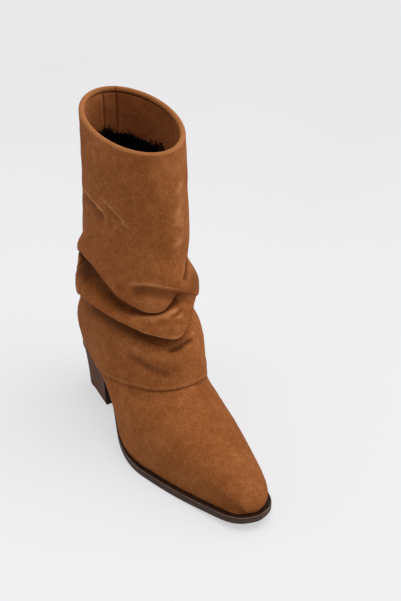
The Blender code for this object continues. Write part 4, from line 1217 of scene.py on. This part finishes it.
def suede_material(name, dark, mid, light, rubbed_and_lit):
    m = Nodes(name)
    cloud = m.noise(34.0, 3.0, 0.5, distortion=0.6)
    patch = m.noise(160.0, 4.0, 0.65)
    nap = m.noise(620.0, 3.0, 0.65)
    fibre = m.noise(2600.0, 2.0, 0.6)
    tone = m.add("ShaderNodeMath", operation="MULTIPLY_ADD")
    m.link(cloud, tone.inputs[0])
    tone.inputs[1].default_value = 0.22
    half = m.add("ShaderNodeMath", operation="MULTIPLY_ADD")
    m.link(patch, half.inputs[0])
    half.inputs[1].default_value = 0.25
    third = m.add("ShaderNodeMath", operation="MULTIPLY_ADD")
    m.link(nap, third.inputs[0])
    third.inputs[1].default_value = 0.33
    third.inputs[2].default_value = 0.10
    m.link(third.outputs[0], half.inputs[2])
    m.link(half.outputs[0], tone.inputs[2])
    colour = m.ramp(tone.outputs[0], ((0.36, dark), (0.5, mid), (0.64, light)))
    colour = m.mix(m.spread(fibre, 0.40, 0.75, 0.0, 0.22), colour, light)
    wear_and_painted_light, broad_hollow_shade = m.attribute("wear_and_painted_light"), m.attribute("broad_hollow_shade")
    # ridges take the lighter rubbed colour, partly wear and partly painted highlight; crease hollows, broad hollows and
    # the shade attribute darken it towards deep brown as painted shade
    ridge = m.spread(wear_and_painted_light, 0.06, 0.45)
    hollow = m.spread(wear_and_painted_light, -0.05, -0.6)
    colour = m.mix(m.spread(ridge, 0.0, 1.0, 0.0, 0.55), colour, rubbed_and_lit)
    colour = m.mix(m.spread(hollow, 0.0, 1.0, 0.0, 0.6), colour, tuple(c * 0.5 for c in dark))
    colour = m.mix(m.spread(broad_hollow_shade, -0.3, -3.0, 0.0, 0.6), colour, tuple(c * 0.5 for c in dark))
    colour = m.mix(m.spread(m.attribute("shade"), 0.0, 1.0, 0.0, 0.75), colour, tuple(c * 0.4 for c in dark))
    fine = m.bump(fibre, 0.35, 0.00035)
    coarse = m.bump(nap, 0.30, 0.0007, fine)
    soft = m.bump(patch, 0.15, 0.0016, coarse)
    m.set(Base_Color=colour, Roughness=0.93, Normal=soft, Specular_IOR_Level=0.06, Sheen_Weight=0.05,
          Sheen_Roughness=0.45, Sheen_Tint=(*lin(214, 160, 112), 1.0))
    return m.material


def near_black_material(name):
    m = Nodes(name)
    pile = m.noise(1500.0, 3.0, 0.65)
    patch = m.noise(180.0, 3.0, 0.6)
    colour = m.ramp(pile, ((0.3, lin(6, 5, 5)), (0.6, lin(16, 14, 13)), (0.85, lin(34, 29, 26))))
    colour = m.mix(m.spread(patch, 0.4, 0.8, 0.0, 0.5), colour, lin(22, 18, 16))
    m.set(Base_Color=colour, Roughness=0.95, Normal=m.bump(pile, 0.8, 0.0008), Specular_IOR_Level=0.1)
    return m.material


def sole_material(name, base, dark, light):
    m = Nodes(name)
    stretch = m.add("ShaderNodeMapping")
    stretch.inputs["Scale"].default_value = (30.0, 30.0, 900.0)
    m.link(m.where, stretch.inputs["Vector"])
    layers = m.noise(1.0, 3.0, 0.6, where=stretch.outputs["Vector"])
    grime = m.noise(260.0, 4.0, 0.65)
    pore = m.noise(1800.0, 2.0, 0.5)
    colour = m.ramp(layers, ((0.25, dark), (0.5, base), (0.8, light)))
    colour = m.mix(m.spread(grime, 0.35, 0.75, 0.0, 0.35), colour, dark)
    m.set(Base_Color=colour, Roughness=m.spread(grime, 0.3, 0.7, 0.5, 0.65), Specular_IOR_Level=0.1,
          Normal=m.bump(layers, 0.10, 0.0004, m.bump(pore, 0.12, 0.0002)))
    return m.material


def heel_material(name, base, dark, light):
    m = Nodes(name)
    stretch = m.add("ShaderNodeMapping")
    stretch.inputs["Scale"].default_value = (700.0, 700.0, 28.0)
    m.link(m.where, stretch.inputs["Vector"])
    grain = m.noise(1.0, 4.0, 0.6, where=stretch.outputs["Vector"])
    cloud = m.noise(90.0, 3.0, 0.55)
    colour = m.ramp(grain, ((0.25, dark), (0.5, base), (0.8, light)))
    colour = m.mix(m.spread(cloud, 0.35, 0.75, 0.0, 0.3), colour, dark)
    m.set(Base_Color=colour, Roughness=m.spread(cloud, 0.3, 0.7, 0.55, 0.68), Specular_IOR_Level=0.03,
          Normal=m.bump(grain, 0.08, 0.0003))
    return m.material


def thread_material(name):
    m = Nodes(name)
    twist = m.noise(2400.0, 2.0, 0.5)
    colour = m.ramp(twist, ((0.3, lin(150, 97, 57)), (0.7, lin(204, 150, 101))))
    m.set(Base_Color=colour, Roughness=0.7, Normal=m.bump(twist, 0.3, 0.0002), Specular_IOR_Level=0.1)
    return m.material


def floor_material(name):
    m = Nodes(name)
    soft = m.noise(3.0, 2.0, 0.5)
    grain = m.noise(700.0, 2.0, 0.5)
    colour = m.ramp(soft, ((0.3, (0.272, 0.272, 0.277)), (0.7, (0.284, 0.284, 0.289))))
    depth = m.add("ShaderNodeVectorMath", operation="DOT_PRODUCT")
    m.link(m.where, depth.inputs[0])
    depth.inputs[1].default_value = (-0.857, 0.515, 0.0)
    m.set(Base_Color=colour, Roughness=0.8, Normal=m.bump(grain, 0.02, 0.0002), Specular_IOR_Level=0.1,
          Emission_Color=(0.985, 0.985, 1.0, 1.0), Emission_Strength=m.spread(depth.outputs["Value"], -0.45, 1.3, 0.56, 0.475))
    return m.material


# ---------------------------------------------------------------- build
# the fourth colour of each suede is the ridge colour, partly rubbed wear and partly painted highlight
suede = suede_material("suede", lin(112, 60, 26), lin(143, 83, 42), lin(170, 108, 65), lin(194, 134, 86))
facing = suede_material("suede_facing", lin(132, 75, 39), lin(166, 101, 57), lin(190, 122, 73), lin(206, 146, 96))
# near-black finish for the inside of the shaft, the vamp's inside and the footbed
near_black_inside = near_black_material("near_black_inside_finish")
sole_finish = sole_material("sole_edge", lin(74, 57, 48), lin(56, 41, 34), lin(90, 72, 62))
heel_finish = heel_material("heel_stack", lin(92, 62, 46), lin(72, 47, 34), lin(108, 76, 58))
thread = thread_material("thread")

shaft, last, grid, normal, inside, into, below = make_shaft(suede, near_black_inside, facing)
vamp = make_vamp(suede, near_black_inside)
# dark painted shade for the sole's ledge top and a lighter painted highlight for its upper edge
ledge_painted_shade = sole_material("sole_ledge_painted_shade", lin(46, 27, 17), lin(34, 19, 12), lin(58, 36, 24))
rim_painted_highlight = sole_material("sole_rim_painted_highlight", lin(122, 101, 88), lin(100, 80, 68), lin(138, 117, 103))
outsole = make_outsole(sole_finish, ledge_painted_shade, rim_painted_highlight)
# dark painted shade for the heel's breast
breast_painted_shade = heel_material("heel_breast_painted_shade", lin(40, 30, 26), lin(30, 22, 19), lin(50, 38, 32))
heel = make_heel(heel_finish, breast_painted_shade)
footbed = make_footbed(near_black_inside)
stitches = make_stitches(last, grid, normal, thread)
pile = make_pile(inside, into, below, last.angle, near_black_inside)

for piece, node, slot in ((shaft, "upper_shaft", "suede"), (vamp, "upper_vamp", "suede"), (outsole, "outsole", "sole"),
                          (heel, "heel", "heel"), (footbed, "insole", "footbed"), (stitches, None, "suede"), (pile, None, "footbed")):
    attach(piece, "root")
    if node:
        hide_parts(node)

# ---------------------------------------------------------------- floor, light, camera
floor_mesh = bpy.data.meshes.new("floor")
bm = bmesh.new()
bmesh.ops.create_grid(bm, x_segments=8, y_segments=8, size=6.0)
bm.to_mesh(floor_mesh)
bm.free()
floor_mesh.materials.append(floor_material("floor"))
floor = bpy.data.objects.new("floor", floor_mesh)
floor.location = (0.0, 0.0, -0.0002)
bpy.context.scene.collection.objects.link(floor)

CAMERA_AT = np.array([722.2115, -321.9841, 495.4983])
CAMERA_YAW, CAMERA_PITCH = 2.601895, 0.4872157
FOCAL_PIXELS, FRAME_HEIGHT = 922.494, 601.0
look = np.array([np.cos(CAMERA_YAW) * np.cos(CAMERA_PITCH), np.sin(CAMERA_YAW) * np.cos(CAMERA_PITCH), -np.sin(CAMERA_PITCH)])
right = np.cross(look, [0.0, 0.0, 1.0])
right /= np.linalg.norm(right)
up = np.cross(right, look)


def frame_at(position, direction_right, direction_up, direction_look):
    m = Matrix(np.eye(4).tolist())
    for k in range(3):
        m[k][0], m[k][1], m[k][2], m[k][3] = direction_right[k], direction_up[k], -direction_look[k], position[k]
    return m


camera_data = bpy.data.cameras.new("camera")
camera = bpy.data.objects.new("camera", camera_data)
bpy.context.scene.collection.objects.link(camera)
camera.matrix_world = frame_at(place(CAMERA_AT), right, up, look)
camera_data.sensor_fit = "AUTO"
camera_data.sensor_width = 36.0
camera_data.lens = FOCAL_PIXELS / FRAME_HEIGHT * 36.0
camera_data.clip_start, camera_data.clip_end = 0.01, 50.0
bpy.context.scene.camera = camera


def sun(name, toward, spread_degrees, strength, colour):
    """Broad far light; toward points from the boot to the light."""
    data = bpy.data.lights.new(name, "SUN")
    data.angle = np.radians(spread_degrees)
    data.energy = strength
    data.color = colour
    obj = bpy.data.objects.new(name, data)
    bpy.context.scene.collection.objects.link(obj)
    d = -np.asarray(toward, float)
    d /= np.linalg.norm(d)
    side = np.cross(d, [0.0, 0.0, 1.0])
    side /= np.linalg.norm(side)
    obj.matrix_world = frame_at((0.0, 0.0, 2.0), side, np.cross(side, d), d)
    return obj


level = np.array([np.cos(CAMERA_YAW), np.sin(CAMERA_YAW), 0.0])
sun("key", right * 0.10 - level * 0.18 + np.array([0, 0, 1.0]), 50.0, 1.5, (1.0, 0.985, 0.96))

world = bpy.data.worlds.new("studio")
bpy.context.scene.world = world
world.use_nodes = True
tree = world.node_tree
sky = tree.nodes["Background"]
sky.inputs["Color"].default_value = (0.985, 0.99, 1.0, 1.0)
where = tree.nodes.new("ShaderNodeTexCoord").outputs["Generated"]


def lobe(direction, low, high, gain):
    """Extra brightness of the surroundings towards one side."""
    dot = tree.nodes.new("ShaderNodeVectorMath")
    dot.operation = "DOT_PRODUCT"
    dot.inputs[1].default_value = tuple(float(x) for x in direction)
    tree.links.new(where, dot.inputs[0])
    node = tree.nodes.new("ShaderNodeMapRange")
    node.interpolation_type = "SMOOTHSTEP"
    node.inputs["From Min"].default_value, node.inputs["From Max"].default_value = low, high
    node.inputs["To Min"].default_value, node.inputs["To Max"].default_value = 0.0, gain
    tree.links.new(dot.outputs["Value"], node.inputs["Value"])
    return node.outputs["Result"]


SKY = 0.27
total = None
for direction, low, high, gain in ((right, 0.15, 0.95, 1.20), (-right, 0.3, 0.95, 0.34), (level, 0.1, 0.95, 0.32),
                                   (-level, 0.0, 0.9, -0.32), (np.array([0.0, 0.0, 1.0]), 0.35, 1.0, 0.45)):
    part = lobe(direction, low, high, gain)
    add = tree.nodes.new("ShaderNodeMath")
    add.operation = "ADD"
    if total is None:
        add.inputs[0].default_value = SKY
    else:
        tree.links.new(total, add.inputs[0])
    tree.links.new(part, add.inputs[1])
    total = add.outputs[0]
tree.links.new(total, sky.inputs["Strength"])
bpy.context.scene.view_settings.view_transform = "Standard"
